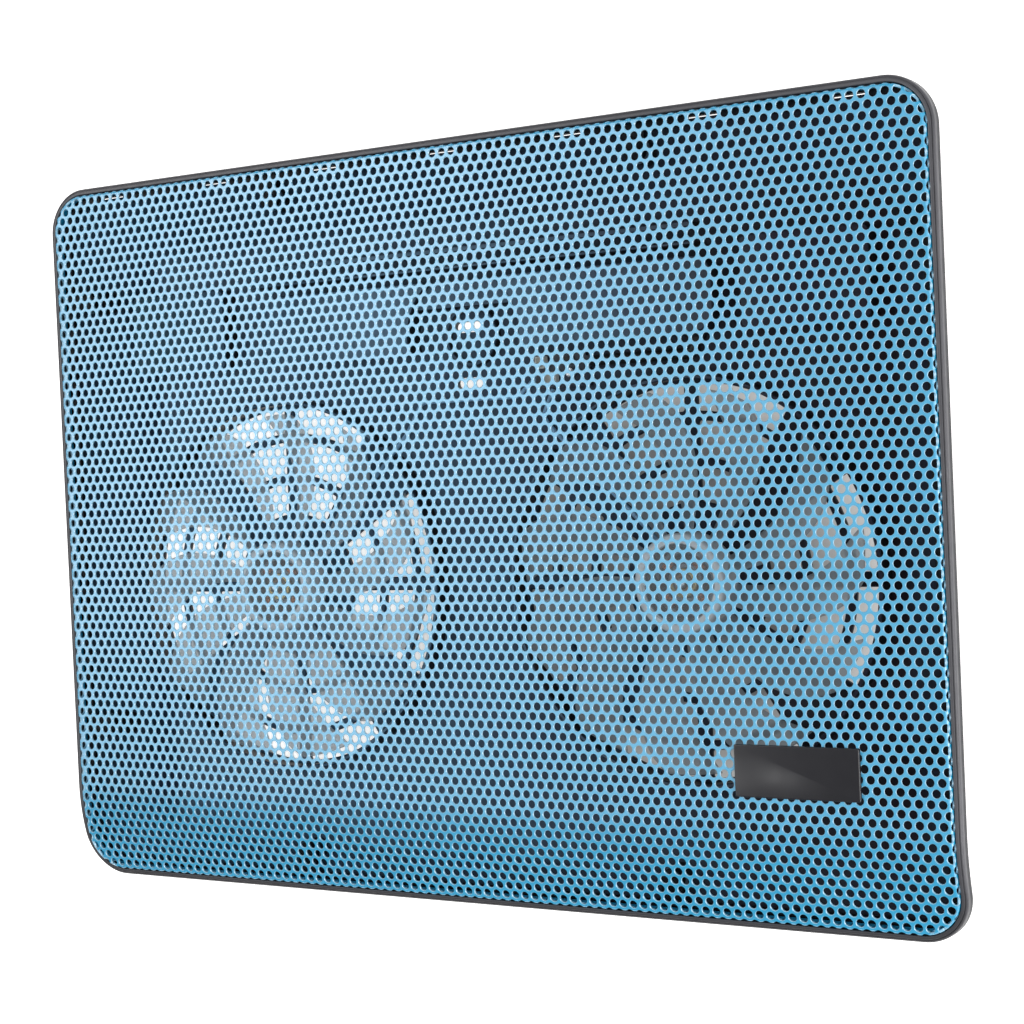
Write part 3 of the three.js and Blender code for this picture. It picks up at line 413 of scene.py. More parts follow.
def cell_template():
    """One hexagonal cell of the sheet: its corners, the mouth of its hole and the hole's narrow ring."""
    corner_angles = np.radians(30 + 60 * np.arange(6))
    corners = HOLE_PITCH / math.sqrt(3) * np.column_stack([np.cos(corner_angles), np.sin(corner_angles)])
    points = np.concatenate([corners, circle(np.zeros(2), HOLE_MOUTH), circle(np.zeros(2), HOLE_RADIUS)])
    mouth, narrow = 6, 6 + HOLE_SIDES
    faces = []
    for k in range(6):
        here, after = k, (k + 1) % 6
        first = mouth + (2 * k + 1) % HOLE_SIDES
        second = mouth + (2 * k + 2) % HOLE_SIDES
        third = mouth + (2 * k + 3) % HOLE_SIDES
        faces += [(here, after, second), (here, second, first), (after, third, second)]
    for k in range(HOLE_SIDES):
        after = (k + 1) % HOLE_SIDES
        faces += [(mouth + k, mouth + after, narrow + after), (mouth + k, narrow + after, narrow + k)]
    return points, np.array(faces)


def sheet_layout():
    """The flat sheet: points, triangles, each triangle's row, and which points are on a hole's narrow ring."""
    centres, rows, has_hole, out = hole_lattice()
    template, template_faces = cell_template()
    whole = out < -HOLE_PITCH / math.sqrt(3) - 0.3
    whole_centres = centres[whole]
    cell_points = (whole_centres[:, None] + template[None]).reshape(-1, 2)
    keys = np.round(cell_points * 1000).astype(np.int64)
    _, first, place = np.unique(keys, axis=0, return_index=True, return_inverse=True)
    place = place.ravel()
    points = cell_points[first]
    cell_starts = np.arange(len(whole_centres))[:, None, None] * len(template)
    faces = place[(template_faces[None] + cell_starts).reshape(-1, 3)]
    face_rows = np.repeat(rows[whole], len(template_faces))
    narrow = np.zeros(len(points), bool)
    narrow_template = np.arange(len(template)) >= 6 + HOLE_SIDES
    narrow[place[np.tile(narrow_template, len(whole_centres))]] = True

    # The border band, where holes run into the fold, is triangulated between the cells and the blank's edge.
    ring = np.array([(k, (k + 1) % 6) for k in range(6)])
    cell_edges = place[(ring[None] + cell_starts).reshape(-1, 2)]
    ordered = np.sort(cell_edges, axis=1)
    _, edge_first, edge_count = np.unique(ordered, axis=0, return_index=True, return_counts=True)
    shore = cell_edges[edge_first[edge_count == 1]]
    shore_points, shore_place = np.unique(shore, return_inverse=True)
    band_points = [points[shore_points]]
    band_edges = [shore_place.reshape(-1, 2)]
    total = len(shore_points)
    loops = [blank_loop(share * FOLD_ARC) for share in (0, 1 / 3, 2 / 3, 1)] + [blank_loop(FOLD_ARC + FLANGE)]
    band_holes = centres[has_hole & ~whole]
    for centre in band_holes:
        loops += [circle(centre, HOLE_MOUTH), circle(centre, HOLE_RADIUS)]
    for loop in loops:
        numbers = total + np.arange(len(loop))
        band_points.append(loop)
        band_edges.append(np.column_stack([numbers, np.roll(numbers, -1)]))
        total += len(loop)
    band_points = np.concatenate(band_points)
    band_edges = np.concatenate(band_edges)
    made = delaunay_2d_cdt([Vector(p) for p in band_points], band_edges.tolist(), [], 0, 1e-5, True)
    made_points, made_faces, origins = np.array([tuple(p) for p in made[0]], float), np.array(made[2]), made[3]
    numbers = np.arange(len(made_points)) + len(points)
    for index, sources in enumerate(origins):
        known = [source for source in sources if source < len(shore_points)]
        if known:
            numbers[index] = shore_points[known[0]]
    middles = made_points[made_faces].mean(1)
    tree = kdtree.KDTree(len(centres))
    for index, centre in enumerate(centres):
        tree.insert((*centre, 0), index)
    tree.balance()
    nearest = np.array([tree.find((*middle, 0))[1] for middle in middles])
    away = middles - centres[nearest]
    turn = (np.arange(HOLE_SIDES) + 0.5) * 2 * math.pi / HOLE_SIDES
    reach = (away[:, :1] * np.cos(turn) + away[:, 1:] * np.sin(turn)).max(1)
    open_hole = has_hole[nearest] & (reach < HOLE_RADIUS * math.cos(math.pi / HOLE_SIDES))
    beyond_blank = fold_line(middles)[2] > FOLD_ARC + FLANGE
    keep = ~(whole[nearest] | open_hole | beyond_blank)
    kept = made_faces[keep]
    a, b, c = (made_points[kept[:, k]] for k in range(3))
    area = (b[:, 0] - a[:, 0]) * (c[:, 1] - a[:, 1]) - (b[:, 1] - a[:, 1]) * (c[:, 0] - a[:, 0])
    kept[area < 0] = kept[area < 0][:, ::-1]
    kept = kept[np.abs(area) > 1e-9]
    band_rows = rows[nearest[keep]][np.abs(area) > 1e-9]
    points = np.concatenate([points, made_points])
    faces = np.concatenate([faces, numbers[kept]])
    face_rows = np.concatenate([face_rows, band_rows])
    narrow = np.concatenate([narrow, np.zeros(len(made_points), bool)])
    edges = np.sort(np.concatenate([faces[:, [0, 1]], faces[:, [1, 2]], faces[:, [2, 0]]]), axis=1)
    single, count = np.unique(edges, axis=0, return_counts=True)
    border = np.unique(single[count == 1])
    narrow[border] = fold_line(points[border])[2] < FOLD_ARC + FLANGE - 0.05
    return points, faces, face_rows, narrow


def sheet_strip(name, points, faces, narrow):
    """A strip of the sheet with its thickness. Its two skins share the narrow ring of each hole."""
    used, place = np.unique(faces, return_inverse=True)
    place = place.reshape(-1, 3)
    flat, ring = points[used], narrow[used]
    upper = np.arange(len(used))
    lower = np.where(ring, upper, len(used) + np.cumsum(~ring) - 1)
    top = form_sheet(flat, np.where(ring, HOLE_EDGE_DEPTH, 0.0))
    bottom = form_sheet(flat[~ring], SHEET_THICKNESS)
    directed = np.concatenate([place[:, [0, 1]], place[:, [1, 2]], place[:, [2, 0]]])
    ordered = np.sort(directed, axis=1)
    _, first, count = np.unique(ordered, axis=0, return_index=True, return_counts=True)
    rim = directed[first[count == 1]]
    rim = rim[~(ring[rim[:, 0]] & ring[rim[:, 1]])]
    walls = [(upper[b], upper[a], lower[a], lower[b]) for a, b in rim]
    triangles = np.concatenate([place, lower[place][:, ::-1]]).tolist()
    obj = mesh_object(name, np.concatenate([top, bottom]), triangles + walls, recalculate=False)
    spread = np.concatenate([flat, flat[~ring]])
    low, high = spread.min(0), spread.max(0)
    unit = (spread - low) / (high - low)
    is_lower = np.arange(len(spread)) >= len(used)
    loops = np.zeros(len(obj.data.loops), np.int32)
    obj.data.loops.foreach_get("vertex_index", loops)
    below = np.zeros(len(loops), bool)
    below[3 * len(place):6 * len(place)] = True
    uv = unit[loops] * (0.98, 0.48) + (0.01, 0.01)
    uv[below | is_lower[loops], 1] += 0.5
    layer = obj.data.uv_layers.new(name="OFBake")
    layer.data.foreach_set("uv", uv.astype(np.float32).ravel())
    # Marks the hole rims, which the steel's material pales as a painted highlight.
    edge = obj.data.attributes.new("hole_edge", "FLOAT", "POINT")
    edge.data.foreach_set("value", np.concatenate([ring, ring[~ring]]).astype(np.float32))
    return obj


def perforated_sheet():
    points, faces, face_rows, narrow = sheet_layout()
    strips = []
    limits = [-9, 19, 39, 58, ROWS + 9]
    for index, (first, last) in enumerate(zip(limits, limits[1:])):
        chosen = faces[(face_rows > first) & (face_rows <= last)]
        strips.append(sheet_strip(f"perforated_steel_{index + 1}", points, chosen, narrow))
    return strips


# ---------------------------------------------------------------- rim

SIDE_STATIONS = [0.25, 0.5, 0.75] + [0.9 + 0.0125 * k for k in range(8)]
SCREW_PLACES = [("side", 152, 82), ("side", 152, -68), ("rear", 69, 110), ("front", 69, -109)]
TOWER_RADIUS = 3.6
TOWER_LENGTH = 1
SLIT_PLACES = [step * 46 for step in range(-3, 4)]
SLIT_WIDTH = 11
SLIT_REAR = HALF_DEPTH - LIP_WIDTH - 1.5


def rim_outline(inset, steps=24):
    half_width, half_depth, radius = (size - inset for size in (HALF_WIDTH, HALF_DEPTH, CORNER_RADIUS))
    return rounded_outline(half_width, half_depth, -half_depth, radius, steps, SIDE_STATIONS)


def follow_top(outline, depth):
    return np.column_stack([outline, MESH_TOP - front_drop(outline[:, 1]) - depth])


def screw_spots():
    """Each screw's edge and place, and the height of the underside of the rim's ledge there."""
    spots = []
    for edge, x, y in SCREW_PLACES:
        ledge_y = y if edge == "side" else math.copysign(HALF_DEPTH - LEDGE_INSET, y)
        under = MESH_TOP - float(front_drop(ledge_y)) - LEDGE_BOTTOM
        spots += [(edge, sign * x, y, under) for sign in (-1, 1)]
    return spots


def rim():
    """The rim: an outer wall rounded at its top, a fine groove, a flat lip, and the ledge under the sheet."""
    wall = [
        (0.2, 4.9), (0.06, 4.84), (0, 4.7), (0, 1.85), (0.03, 1.6), (0.12, 1.38), (0.27, 1.2), (0.45, 1.08),
        (0.66, 1.02),
    ]
    groove_and_lip = [
        (0.73, 1.1), (0.78, 1.22), (0.9, 1.22), (0.94, 1.0), (1.0, 0.86), (1.12, 0.8), (1.72, 0.8),
        (1.9, 0.87), (2, 1.04),
    ]
    ledge = [
        (2, 4.2), (5.8, 4.2), (5.95, 4.26), (6, 4.4), (6, 5.4), (5.94, 5.54), (5.8, 5.6), (4.3, 5.6), (4.3, 4.9),
    ]
    section = wall + groove_and_lip + ledge
    body = loft("rim", [follow_top(rim_outline(inset), depth) for inset, depth in section], closed=True)
    for edge, x, y, under in screw_spots():
        over = under + LEDGE_BOTTOM - LEDGE_TOP - 0.2
        half, reach = TOWER_RADIUS, LEDGE_INSET - 1.5
        if edge == "side":
            ends = sorted((x, math.copysign(HALF_WIDTH - reach, x)))
            tab = block("tab", *ends, y - half, y + half, under, over)
        else:
            ends = sorted((y, math.copysign(HALF_DEPTH - reach, y)))
            tab = block("tab", x - half, x + half, *ends, under, over)
        tower = upright("tower", half, under - TOWER_LENGTH, over + 0.3, x, y, edge=0.25)
        add(body, tab, tower)
        cut(body, upright("pilot", 1.3, under - TOWER_LENGTH - 1, over - 0.5, x, y, 20))
    cut(body, rear_slits(SLIT_REAR - 6, MESH_TOP - 8, MESH_TOP - LEDGE_TOP + 1, 0.6))
    # Depth below the top, from which the rim's material paints its shade.
    depths = [MESH_TOP - float(front_drop(point.co.y / MM)) - point.co.z / MM for point in body.data.vertices]
    body.data.attributes.new("below_top", "FLOAT", "POINT").data.foreach_set("value", depths)
    return shade_again(body)


def shade_again(obj, sharp=32):
    shade(obj, sharp)
    return obj


def rear_slits(front, low, high, radius=0.0):
    """Cutters for the slits along the rear edge, from front to SLIT_REAR."""
    half = SLIT_WIDTH / 2
    slits = [block("slit", x - half, x + half, front, SLIT_REAR, low, high, radius) for x in SLIT_PLACES]
    return merged("slits", slits)


# ---------------------------------------------------------------- tray

# Outlines of the dish, from its floor to its edge: half width, rear, front, corner radius, share of the height.
DISH = np.array([
    (144, 88.5, -89, 20, 0),
    (150.5, 99, -100, 19, 0.17),
    (156.5, 109, -109.5, 17, 0.5),
    (160.3, 115.3, -115.3, 15, 0.8),
    (HALF_WIDTH - 1.2, HALF_DEPTH - 1.2, 1.2 - HALF_DEPTH, CORNER_RADIUS - 1.2, 1),
])
SECTOR_HALF_ANGLE = math.radians(32)
RADIAL_RIB = 4.5
ARC_RIB = 3
ARC_RADII = [22.6, 36, 50, OPENING_RADIUS + ARC_RIB / 2]
LEG_X = 118
LEG_POCKET = (38, 56.5, 81, 10.4)
LEG_PIN_Y = 76.4
LEG_PIN_Z = 6.6
LEG_PIN_RADIUS = 1.25
BAYS_X = ((-78, -12), (12, 87.5))
BAY_FRONT, BAY_REAR, BAY_TOP = 56.5, 76.5, 11
BAY_WALL = 1.5
RECESS_RADIUS = 21
CROSSING_HALF_LENGTH = 21
CABLE_RADIUS = 1.7
CABLE_Z = FLOOR_TOP + CABLE_RADIUS
CABLE_RUNS_Y = (60, 66.5, 73)
CROSSING_TOP = 8.7
FLOOR_SLOTS = ((-2.5, 62.9), (-2.5, 45))
LONG_RIBS = ((86.4, 88, 13.5), (81.2, 82.2, 12.5))


def dish_rings(wall, floor):
    """Rings up one side of the dish, eased between the outlines of DISH."""
    edge = follow_top(rim_outline(1.2, 16), WALL_BOTTOM + GAP)[:, 2]
    padded = np.vstack([2 * DISH[0] - DISH[1], DISH, 2 * DISH[-1] - DISH[-2]])
    rings = []
    for span in range(len(DISH) - 1):
        p0, p1, p2, p3 = padded[span:span + 4]
        for t in np.arange(4 if span < len(DISH) - 2 else 5) / 4:
            curve = 2 * p1 + (p2 - p0) * t + (2 * p0 - 5 * p1 + 4 * p2 - p3) * t**2
            curve += (3 * p1 - p0 - 3 * p2 + p3) * t**3
            half_width, rear, front, radius, share = curve / 2
            size = (half_width - wall, rear - wall, front + wall, radius - wall)
            outline = rounded_outline(*size, 16, SIDE_STATIONS)
            rings.append(np.column_stack([outline, floor + share * (edge - floor)]))
    return rings


def rounded_corners(outline, corners, radius):
    """Cuts the listed corners of an outline with short curves."""
    result = []
    count = len(outline)
    for k, point in enumerate(outline):
        if k not in corners:
            result.append(point)
            continue
        before, after = outline[(k - 1) % count], outline[(k + 1) % count]
        start = point + (before - point) * min(0.45, radius / np.linalg.norm(before - point))
        end = point + (after - point) * min(0.45, radius / np.linalg.norm(after - point))
        for t in np.linspace(0, 1, 5):
            result.append((1 - t) ** 2 * start + 2 * t * (1 - t) * point + t**2 * end)
    return np.array(result)


def grille_cell(centre, inner, outer, middle, side):
    """One opening of a fan grille, flared at both faces to round the edges of the ribs between openings."""
    def rib_edge(radius):
        return middle + side * math.asin(RADIAL_RIB / 2 / radius)

    sector_edge = middle + side * SECTOR_HALF_ANGLE
    steps = 14
    outer_arc = np.linspace(rib_edge(outer), sector_edge, steps)
    inner_arc = np.linspace(sector_edge, rib_edge(inner), steps)
    outline = np.concatenate([
        outer * np.column_stack([np.cos(outer_arc), np.sin(outer_arc)]),
        inner * np.column_stack([np.cos(inner_arc), np.sin(inner_arc)]),
    ])
    if side < 0:
        outline = outline[::-1]
    outline = rounded_corners(outline, {0, steps - 1, steps, 2 * steps - 1}, 1.1) + centre
    flare = 0.6
    rings = [at_height(offset_outline(outline, flare), FLOOR_BOTTOM - 0.5)]
    for out, inside in quarter(3):
        rings.append(at_height(offset_outline(outline, flare * (1 - inside)), FLOOR_BOTTOM + flare * (1 - out)))
    for out, inside in reversed(quarter(3)):
        rings.append(at_height(offset_outline(outline, flare * (1 - inside)), FLOOR_TOP - flare * (1 - out)))
    rings.append(at_height(offset_outline(outline, flare), FLOOR_TOP + 0.5))
    return loft("cell", rings)


def grille_openings(centre):
    cells = []
    for quarter_turn in range(4):
        for inner, outer in zip(ARC_RADII, ARC_RADII[1:]):
            for side in (-1, 1):
                middle = quarter_turn * math.pi / 2
                cells.append(grille_cell(centre, inner + ARC_RIB / 2, outer - ARC_RIB / 2, middle, side))
    return cells


def shroud(centre, gate_angle):
    """The ring wall round a fan, open at one place for the fan's lead."""
    inner, outer = OPENING_RADIUS + 1, OPENING_RADIUS + 2.5
    low, high, edge = FLOOR_TOP - 1, SHROUD_TOP, 0.35
    section = [(inner, low), (outer, low), (outer, high - edge), (outer - edge, high), (inner + edge, high)]
    section.append((inner, high - edge))
    radii, heights = np.array(section).T
    gap = math.asin(3 / inner)
    rings = []
    for angle in np.linspace(gate_angle + gap, gate_angle + 2 * math.pi - gap, 120):
        x, y = centre[0] + radii * math.cos(angle), centre[1] + radii * math.sin(angle)
        rings.append(np.column_stack([x, y, heights]))
    return loft("shroud", rings)


def bay_walls(min_x, max_x, min_y, max_y, top, radius):
    wall = BAY_WALL
    span = (min_x - wall, max_x + wall, min_y - wall, max_y + wall)
    return block("walls", *span, FLOOR_BOTTOM + 1, top + wall, radius + wall, round_high=0.6)


def bay_hollow(min_x, max_x, min_y, max_y, top, radius):
    return block("hollow", min_x, max_x, min_y, max_y, FLOOR_BOTTOM - 1, top, radius, round_high=0.3)


def recess(radius, flare=0.0):
    """A cutter for the round recess between the bays, widening at the top of their walls."""
    top = BAY_TOP + BAY_WALL
    profile = [(radius, 0), (radius, top - flare)]
    for out, inside in quarter(3)[1:]:
        profile.append((radius + flare * (1 - out), top - flare * (1 - inside)))
    profile.append((radius + flare, MESH_TOP))
    return lathe("recess", profile, 96, (0, CABLE_RUNS_Y[0]), closed=False)


def pin_bore(min_x, max_x):
    """A cutter for the bore in which a leg's pin sits."""
    return along_x("bore", LEG_PIN_RADIUS + GAP, min_x, max_x, LEG_PIN_Y, LEG_PIN_Z)


def crossing_span(half):
    """The ground plan of the cable's channel between the bays, to a half width."""
    y = CABLE_RUNS_Y[2]
    return (-CROSSING_HALF_LENGTH, CROSSING_HALF_LENGTH, y - half, y + half)


def boss_height(under):
    return under - TOWER_LENGTH - GAP


def seat_height(under):
    """Where a screw's head bears, inside its boss."""
    return boss_height(under) - 1.4


def tray():
    outer, inner = dish_rings(0, FLOOR_BOTTOM), dish_rings(2, FLOOR_TOP)
    body = loft("tray", outer + inner[::-1], sharp=30)
    lid = outer[-1].copy()
    lid[:, 2] = MESH_TOP + 20
    envelope = loft("envelope", outer + [lid])

    walls, hollows, openings, rings, pins = [], [], [], [], []
    for min_x, max_x in BAYS_X:
        bay = (min_x, max_x, BAY_FRONT, BAY_REAR, BAY_TOP, 5)
        walls.append(cut(bay_walls(*bay), recess(RECESS_RADIUS, 0.6)))
        hollows.append(cut(bay_hollow(*bay), recess(RECESS_RADIUS + BAY_WALL)))
    leg_width, leg_front, leg_rear, leg_top = LEG_POCKET
    for sign in (-1, 1):
        centre = (sign * FAN_X, FAN_Y)
        rings.append(shroud(centre, math.radians(90 + sign * 45)))
        openings += grille_openings(centre)
        leg_span = (sign * LEG_X - leg_width / 2, sign * LEG_X + leg_width / 2, leg_front, leg_rear)
        walls.append(bay_walls(*leg_span, leg_top, 0.8))
        hollows.append(bay_hollow(*leg_span, leg_top, 0.8))
        reach = leg_width / 2 + BAY_WALL + 1
        pins.append(pin_bore(sign * LEG_X - reach, sign * LEG_X + reach))

    ring_profile = [(8.5, FLOOR_TOP - 1), (10, FLOOR_TOP - 1), (10, 7.2), (9.7, 7.5), (8.8, 7.5), (8.5, 7.2)]
    ribs = [lathe("ring", ring_profile, 48, (0, CABLE_RUNS_Y[0]))]
    for front, rear, top in LONG_RIBS:
        ribs.append(block("rib", -84, 84, front, rear, FLOOR_TOP - 1, top, 0.4, round_high=0.3))
    for x in (-35, 35):
        ribs.append(block("guide", x - 6, x + 6, 36.2, 37.6, FLOOR_TOP - 1, 8, 0.6, round_high=0.4))
    bosses, bores = [], []
    for _, x, y, under in screw_spots():
        bosses.append(upright("boss", 4.2, FLOOR_BOTTOM, boss_height(under), x, y, 36))
        seat = seat_height(under)
        steps = [(2.9, 0), (2.9, seat), (1.4, seat), (1.4, seat + 5)]
        bores.append(lathe("bore", steps, 36, (x, y), closed=False))
    add(body, combine(merged("bosses", bosses), envelope, "INTERSECT"))
    add(body, merged("walls", walls), merged("rings", rings), merged("ribs", ribs))
    roof = CROSSING_TOP + BAY_WALL
    add(body, block("crossing", *crossing_span(4), FLOOR_BOTTOM + 1, roof, round_high=0.4))

    for name, tools in (("hollows", hollows), ("openings", openings), ("pins", pins), ("bores", bores)):
        cut(body, merged(name, tools))
    cut(body, block("crossing", *crossing_span(2.5), FLOOR_BOTTOM - 1, CROSSING_TOP))
    slots = [block("slot", x - 5, x + 5, y - 1.7, y + 1.7, 0, 9, 1.6) for x, y in FLOOR_SLOTS]
    gate = along_y("gate", CABLE_RADIUS + 1.7, BAY_FRONT - BAY_WALL - 2, BAY_FRONT + 1.2, 80, CABLE_Z)
    cut(body, merged("slots", slots + [gate]), rear_slits(SLIT_REAR - 0.45, 0, MESH_TOP))
    # The flat underside keeps flat shading right up to the curve of the dish.
    body.modifiers.new("even_shading", "WEIGHTED_NORMAL").keep_sharp = True
    return shade_again(body, 30)


def along_x(name, radius, min_x, max_x, y, z, sides=28):
    return tube(name, [(min_x, y, z), ((min_x + max_x) / 2, y, z), (max_x, y, z)], radius, sides)


def along_y(name, radius, min_y, max_y, x, z, sides=28):
    return tube(name, [(x, min_y, z), (x, (min_y + max_y) / 2, z), (x, max_y, z)], radius, sides)


# ---------------------------------------------------------------- plate, feet, legs, screws

def name_plate():
    low, high = node_box("name_plate")
    outline = box_outline(low[0], high[0], low[1], high[1], 0.5, 6)
    return slab("name_plate", outline, low[2], high[2], 0, 0.35, 4, sharp=50)


def rubber_foot(node):
    """A foot with a softly rounded edge and three shallow grips across its face."""
    low, high = node_box(node)
    depth = high[1] - low[1]
    outline = box_outline(low[0], high[0], low[1], high[1], depth / 2 - 0.05, 12)
    foot = slab(node + "_rubber", outline, low[2], high[2], 0.7, 0, 4)
    middle = (low[1] + high[1]) / 2
    grips = []
    for y in (middle - 1.3, middle, middle + 1.3):
        grips.append(block("grip", low[0] + 3, high[0] - 3, y - 0.25, y + 0.25, -1, 0.3, 0.2))
    return shade_again(cut(foot, merged("grips", grips)))


def stand_up(obj, x, y, z):
    """Turns an upright slab on its side: it runs along X, with its outline in the YZ plane about (y, z)."""
    turn = Matrix(((0, 0, 1, 0), (1, 0, 0, 0), (0, 1, 0, 0), (0, 0, 0, 1)))
    obj.data.transform(Matrix.Translation(Vector((x, y, z)) * MM) @ turn)
    return obj


def rear_leg(side):
    """The folded leg: a wedge-shaped flap with a round knuckle, a finger groove and two hollows."""
    low, high = node_box(f"{side}_rear_leg")
    x, half = (low[0] + high[0]) / 2, (high[0] - low[0]) / 2
    length = LEG_PIN_Y - low[1]
    bottom = low[2] - LEG_PIN_Z
    knuckle = [(-bottom * math.sin(a), bottom * math.cos(a)) for a in np.linspace(0, math.pi, 24)]
    around = np.linspace(0, math.pi, 10)
    groove = [(-length + 4.5 - 0.9 * math.cos(a), bottom + 0.9 * math.sin(a)) for a in around]
    outline = np.array([
        *knuckle, (-6, 2.6), (-length + 1, 2), (-length + 0.3, 1.7), (-length, 1.1), (-length, bottom + 0.7),
        (-length + 0.2, bottom + 0.2), (-length + 0.7, bottom), *groove,
    ])
    leg = stand_up(slab(side + "_leg_flap", outline, -half, half, 0.5, 0.5, 3), x, LEG_PIN_Y, LEG_PIN_Z)
    front, rear = low[1] + 5.8, LEG_PIN_Y - 4.6
    floor = low[2] + 1.4
    for sign in (-1, 1):
        middle = x + sign * 8.8
        span = (middle - 7.2, middle + 7.2, front, rear)
        cut(leg, block("hollow", *span, floor, LEG_PIN_Z + 4, 0.8, round_low=0.5))
    cut(leg, pin_bore(x - half - 1, x + half + 1))
    grips = []
    for k in range(7):
        left = x - 9 + 3 * k
        grips.append(block("grip", left, left + 1, front + 2, front + 7, low[2] - 1, low[2] + 0.25, 0.4))
    return shade_again(cut(leg, merged("grips", grips)))


def leg_pad(side):
    low, high = node_box(f"{side}_leg_pad")
    outline = box_outline(low[0], high[0], low[2] - LEG_PIN_Z, high[2] - LEG_PIN_Z, 1.2, 5)
    pad = slab(side + "_leg_tip", outline, 0, high[1] - low[1], 0, 0.7, 3)
    turn = Matrix(((1, 0, 0, 0), (0, 0, -1, 0), (0, 1, 0, 0), (0, 0, 0, 1)))
    pad.data.transform(Matrix.Translation(Vector((0, high[1], LEG_PIN_Z)) * MM) @ turn)
    return pad


def leg_pin(side):
    low, high = node_box(f"{side}_leg_pin")
    return along_x(side + "_hinge_pin", LEG_PIN_RADIUS, low[0], high[0], LEG_PIN_Y, LEG_PIN_Z)


def tray_screw(index):
    """A pan-head screw, head down, with a cross recess and a ridged shank."""
    low, high = node_box(f"tray_screw_{index}")
    x, y = (low[:2] + high[:2]) / 2
    radius = (high[0] - low[0]) / 2
    seat = low[2] + 1.6
    ridges = []
    for k in range(6):
        base = seat + 0.3 + 0.45 * k
        ridges += [(0.8, base), (1.05, base + 0.2), (0.8, base + 0.4)]
    profile = [
        (radius * 0.5, low[2]), (radius * 0.72, low[2] + 0.12), (radius * 0.92, low[2] + 0.45),
        (radius, low[2] + 0.95), (radius, seat), (0.8, seat), *ridges, (0.35, high[2]),
    ]
    screw = lathe(f"screw_{index}", profile, 32, (x, y), closed=False)
    for across, along in ((1.45, 0.3), (0.3, 1.45)):
        span = (x - across, x + across, y - along, y + along)
        cut(screw, block("cross", *span, low[2] - 1, low[2] + 0.9, round_high=0.2))
    return shade_again(screw)


# ---------------------------------------------------------------- fans

HUB_RADIUS = 15.2
ROTOR_RADIUS = 58
BLADES = 11
BLADE_LOW, BLADE_HIGH = 9.1, 15.1      # the middle of a blade, at its two edges
BLADE_SPAN = math.radians(19.5)
BLADE_SWEEP = math.radians(21)
BLADE_SWEEP_POWER = 2.2
BLADE_HALF_THICKNESS = 0.68
ROTOR_REST = {"left": math.radians(2.4), "right": math.radians(19.9)}
POLES = 4


def smoothstep(value, low, high):
    t = np.clip((value - low) / (high - low), 0, 1)
    return t * t * (3 - 2 * t)


def blade(index):
    """A curved blade that climbs from its leading edge to its trailing edge, with rounded edges and corners."""
    chord = np.sin(np.linspace(-math.pi / 2, math.pi / 2, 21))
    tip = 0.9
    inner_radii = np.linspace(HUB_RADIUS - 0.7, ROTOR_RADIUS - tip, 18)
    tip_radii = ROTOR_RADIUS - tip + tip * np.sin(np.linspace(0.25, 1.5, 6))
    rings = []
    for radius in [*inner_radii, *tip_radii]:
        out = (radius - HUB_RADIUS) / (ROTOR_RADIUS - HUB_RADIUS)
        near_tip = max(0.0, (radius - ROTOR_RADIUS + 7) / 7)
        near_root = max(0.0, (HUB_RADIUS + 5 - radius) / 5)
        span = BLADE_SPAN * (1 - 0.2 * near_tip**2.5) * (1 + 0.1 * near_root**2)
        sweep = BLADE_SWEEP * max(out, 0) ** BLADE_SWEEP_POWER
        angle = 2 * math.pi * index / BLADES + sweep + chord / 2 * span
        rise = smoothstep((1 - chord) / 2, -0.15, 1.15)
        middle = BLADE_LOW + (BLADE_HIGH - BLADE_LOW) * rise
        edge = np.sqrt(np.maximum(1 - np.abs(chord) ** max(0.22 * radius, 5), 0))
        shell = math.sqrt(max(1 - max(0.0, (radius - ROTOR_RADIUS + tip) / tip) ** 2, 0.02))
        half = BLADE_HALF_THICKNESS * shell * edge
        x, y = radius * np.cos(angle), radius * np.sin(angle)
        upper = np.column_stack([x, y, middle + half])
        lower = np.column_stack([x, y, middle - half])[1:-1][::-1]
        rings.append(np.concatenate([upper, lower]))
    return loft("blade", rings)


def rotor(side, sign):
    """The clear rotor, built about its own axis: a shallow cup with a ring raised on its top, and its blades."""
    low, high = node_box(f"{side}_rotor")
    top, bottom, wall = high[2], low[2], 1.3
    outside = [(5, top - 0.45), (11, top - 0.45), (11.5, top - 0.32), (11.9, top - 0.05), (12.3, top)]
    shoulder = [(HUB_RADIUS - 2 + 2 * inside, top - 2 + 2 * out) for out, inside in quarter(8)]
    inner = HUB_RADIUS - wall
    inside = [
        (HUB_RADIUS, bottom + 0.2), (HUB_RADIUS - 0.2, bottom), (inner, bottom), (inner, top - wall - 1),
        (inner - 1, top - wall), (3.1, top - wall), (3.1, top - 1.8), (1.8, top - 1.8), (1.8, top - 0.9),
    ]
    body = lathe(f"{side}_fan_rotor", outside + shoulder + inside, 96, closed=False)
    add(body, *[blade(index) for index in range(BLADES)])
    body.data.transform(Matrix.Rotation(ROTOR_REST[side], 4, "Z"))
    shade(body, 40)
    body.location = Vector((sign * FAN_X, FAN_Y, 0)) * MM
    return body


def turned_ring(node, name, inner, edge=0.15):
    """A plain ring the size of a CAD node, with broken edges."""
    low, high = node_box(node)
    centre = (low[:2] + high[:2]) / 2
    outer = (high[0] - low[0]) / 2
    bottom, top = low[2], high[2]
    profile = [
        (inner, bottom + edge), (inner + edge, bottom), (outer - edge, bottom), (outer, bottom + edge),
        (outer, top - edge), (outer - edge, top), (inner + edge, top), (inner, top - edge),
    ]
    return lathe(name, profile, centre=tuple(centre))


def shaft(side):
    low, high = node_box(f"{side}_shaft")
    radius = (high[0] - low[0]) / 2
    profile = [(radius * 0.6, low[2]), (radius, low[2] + 0.4), (radius, high[2] - 0.4), (radius * 0.75, high[2])]
    return lathe(f"{side}_motor_shaft", profile, 32, tuple((low[:2] + high[:2]) / 2), closed=False)


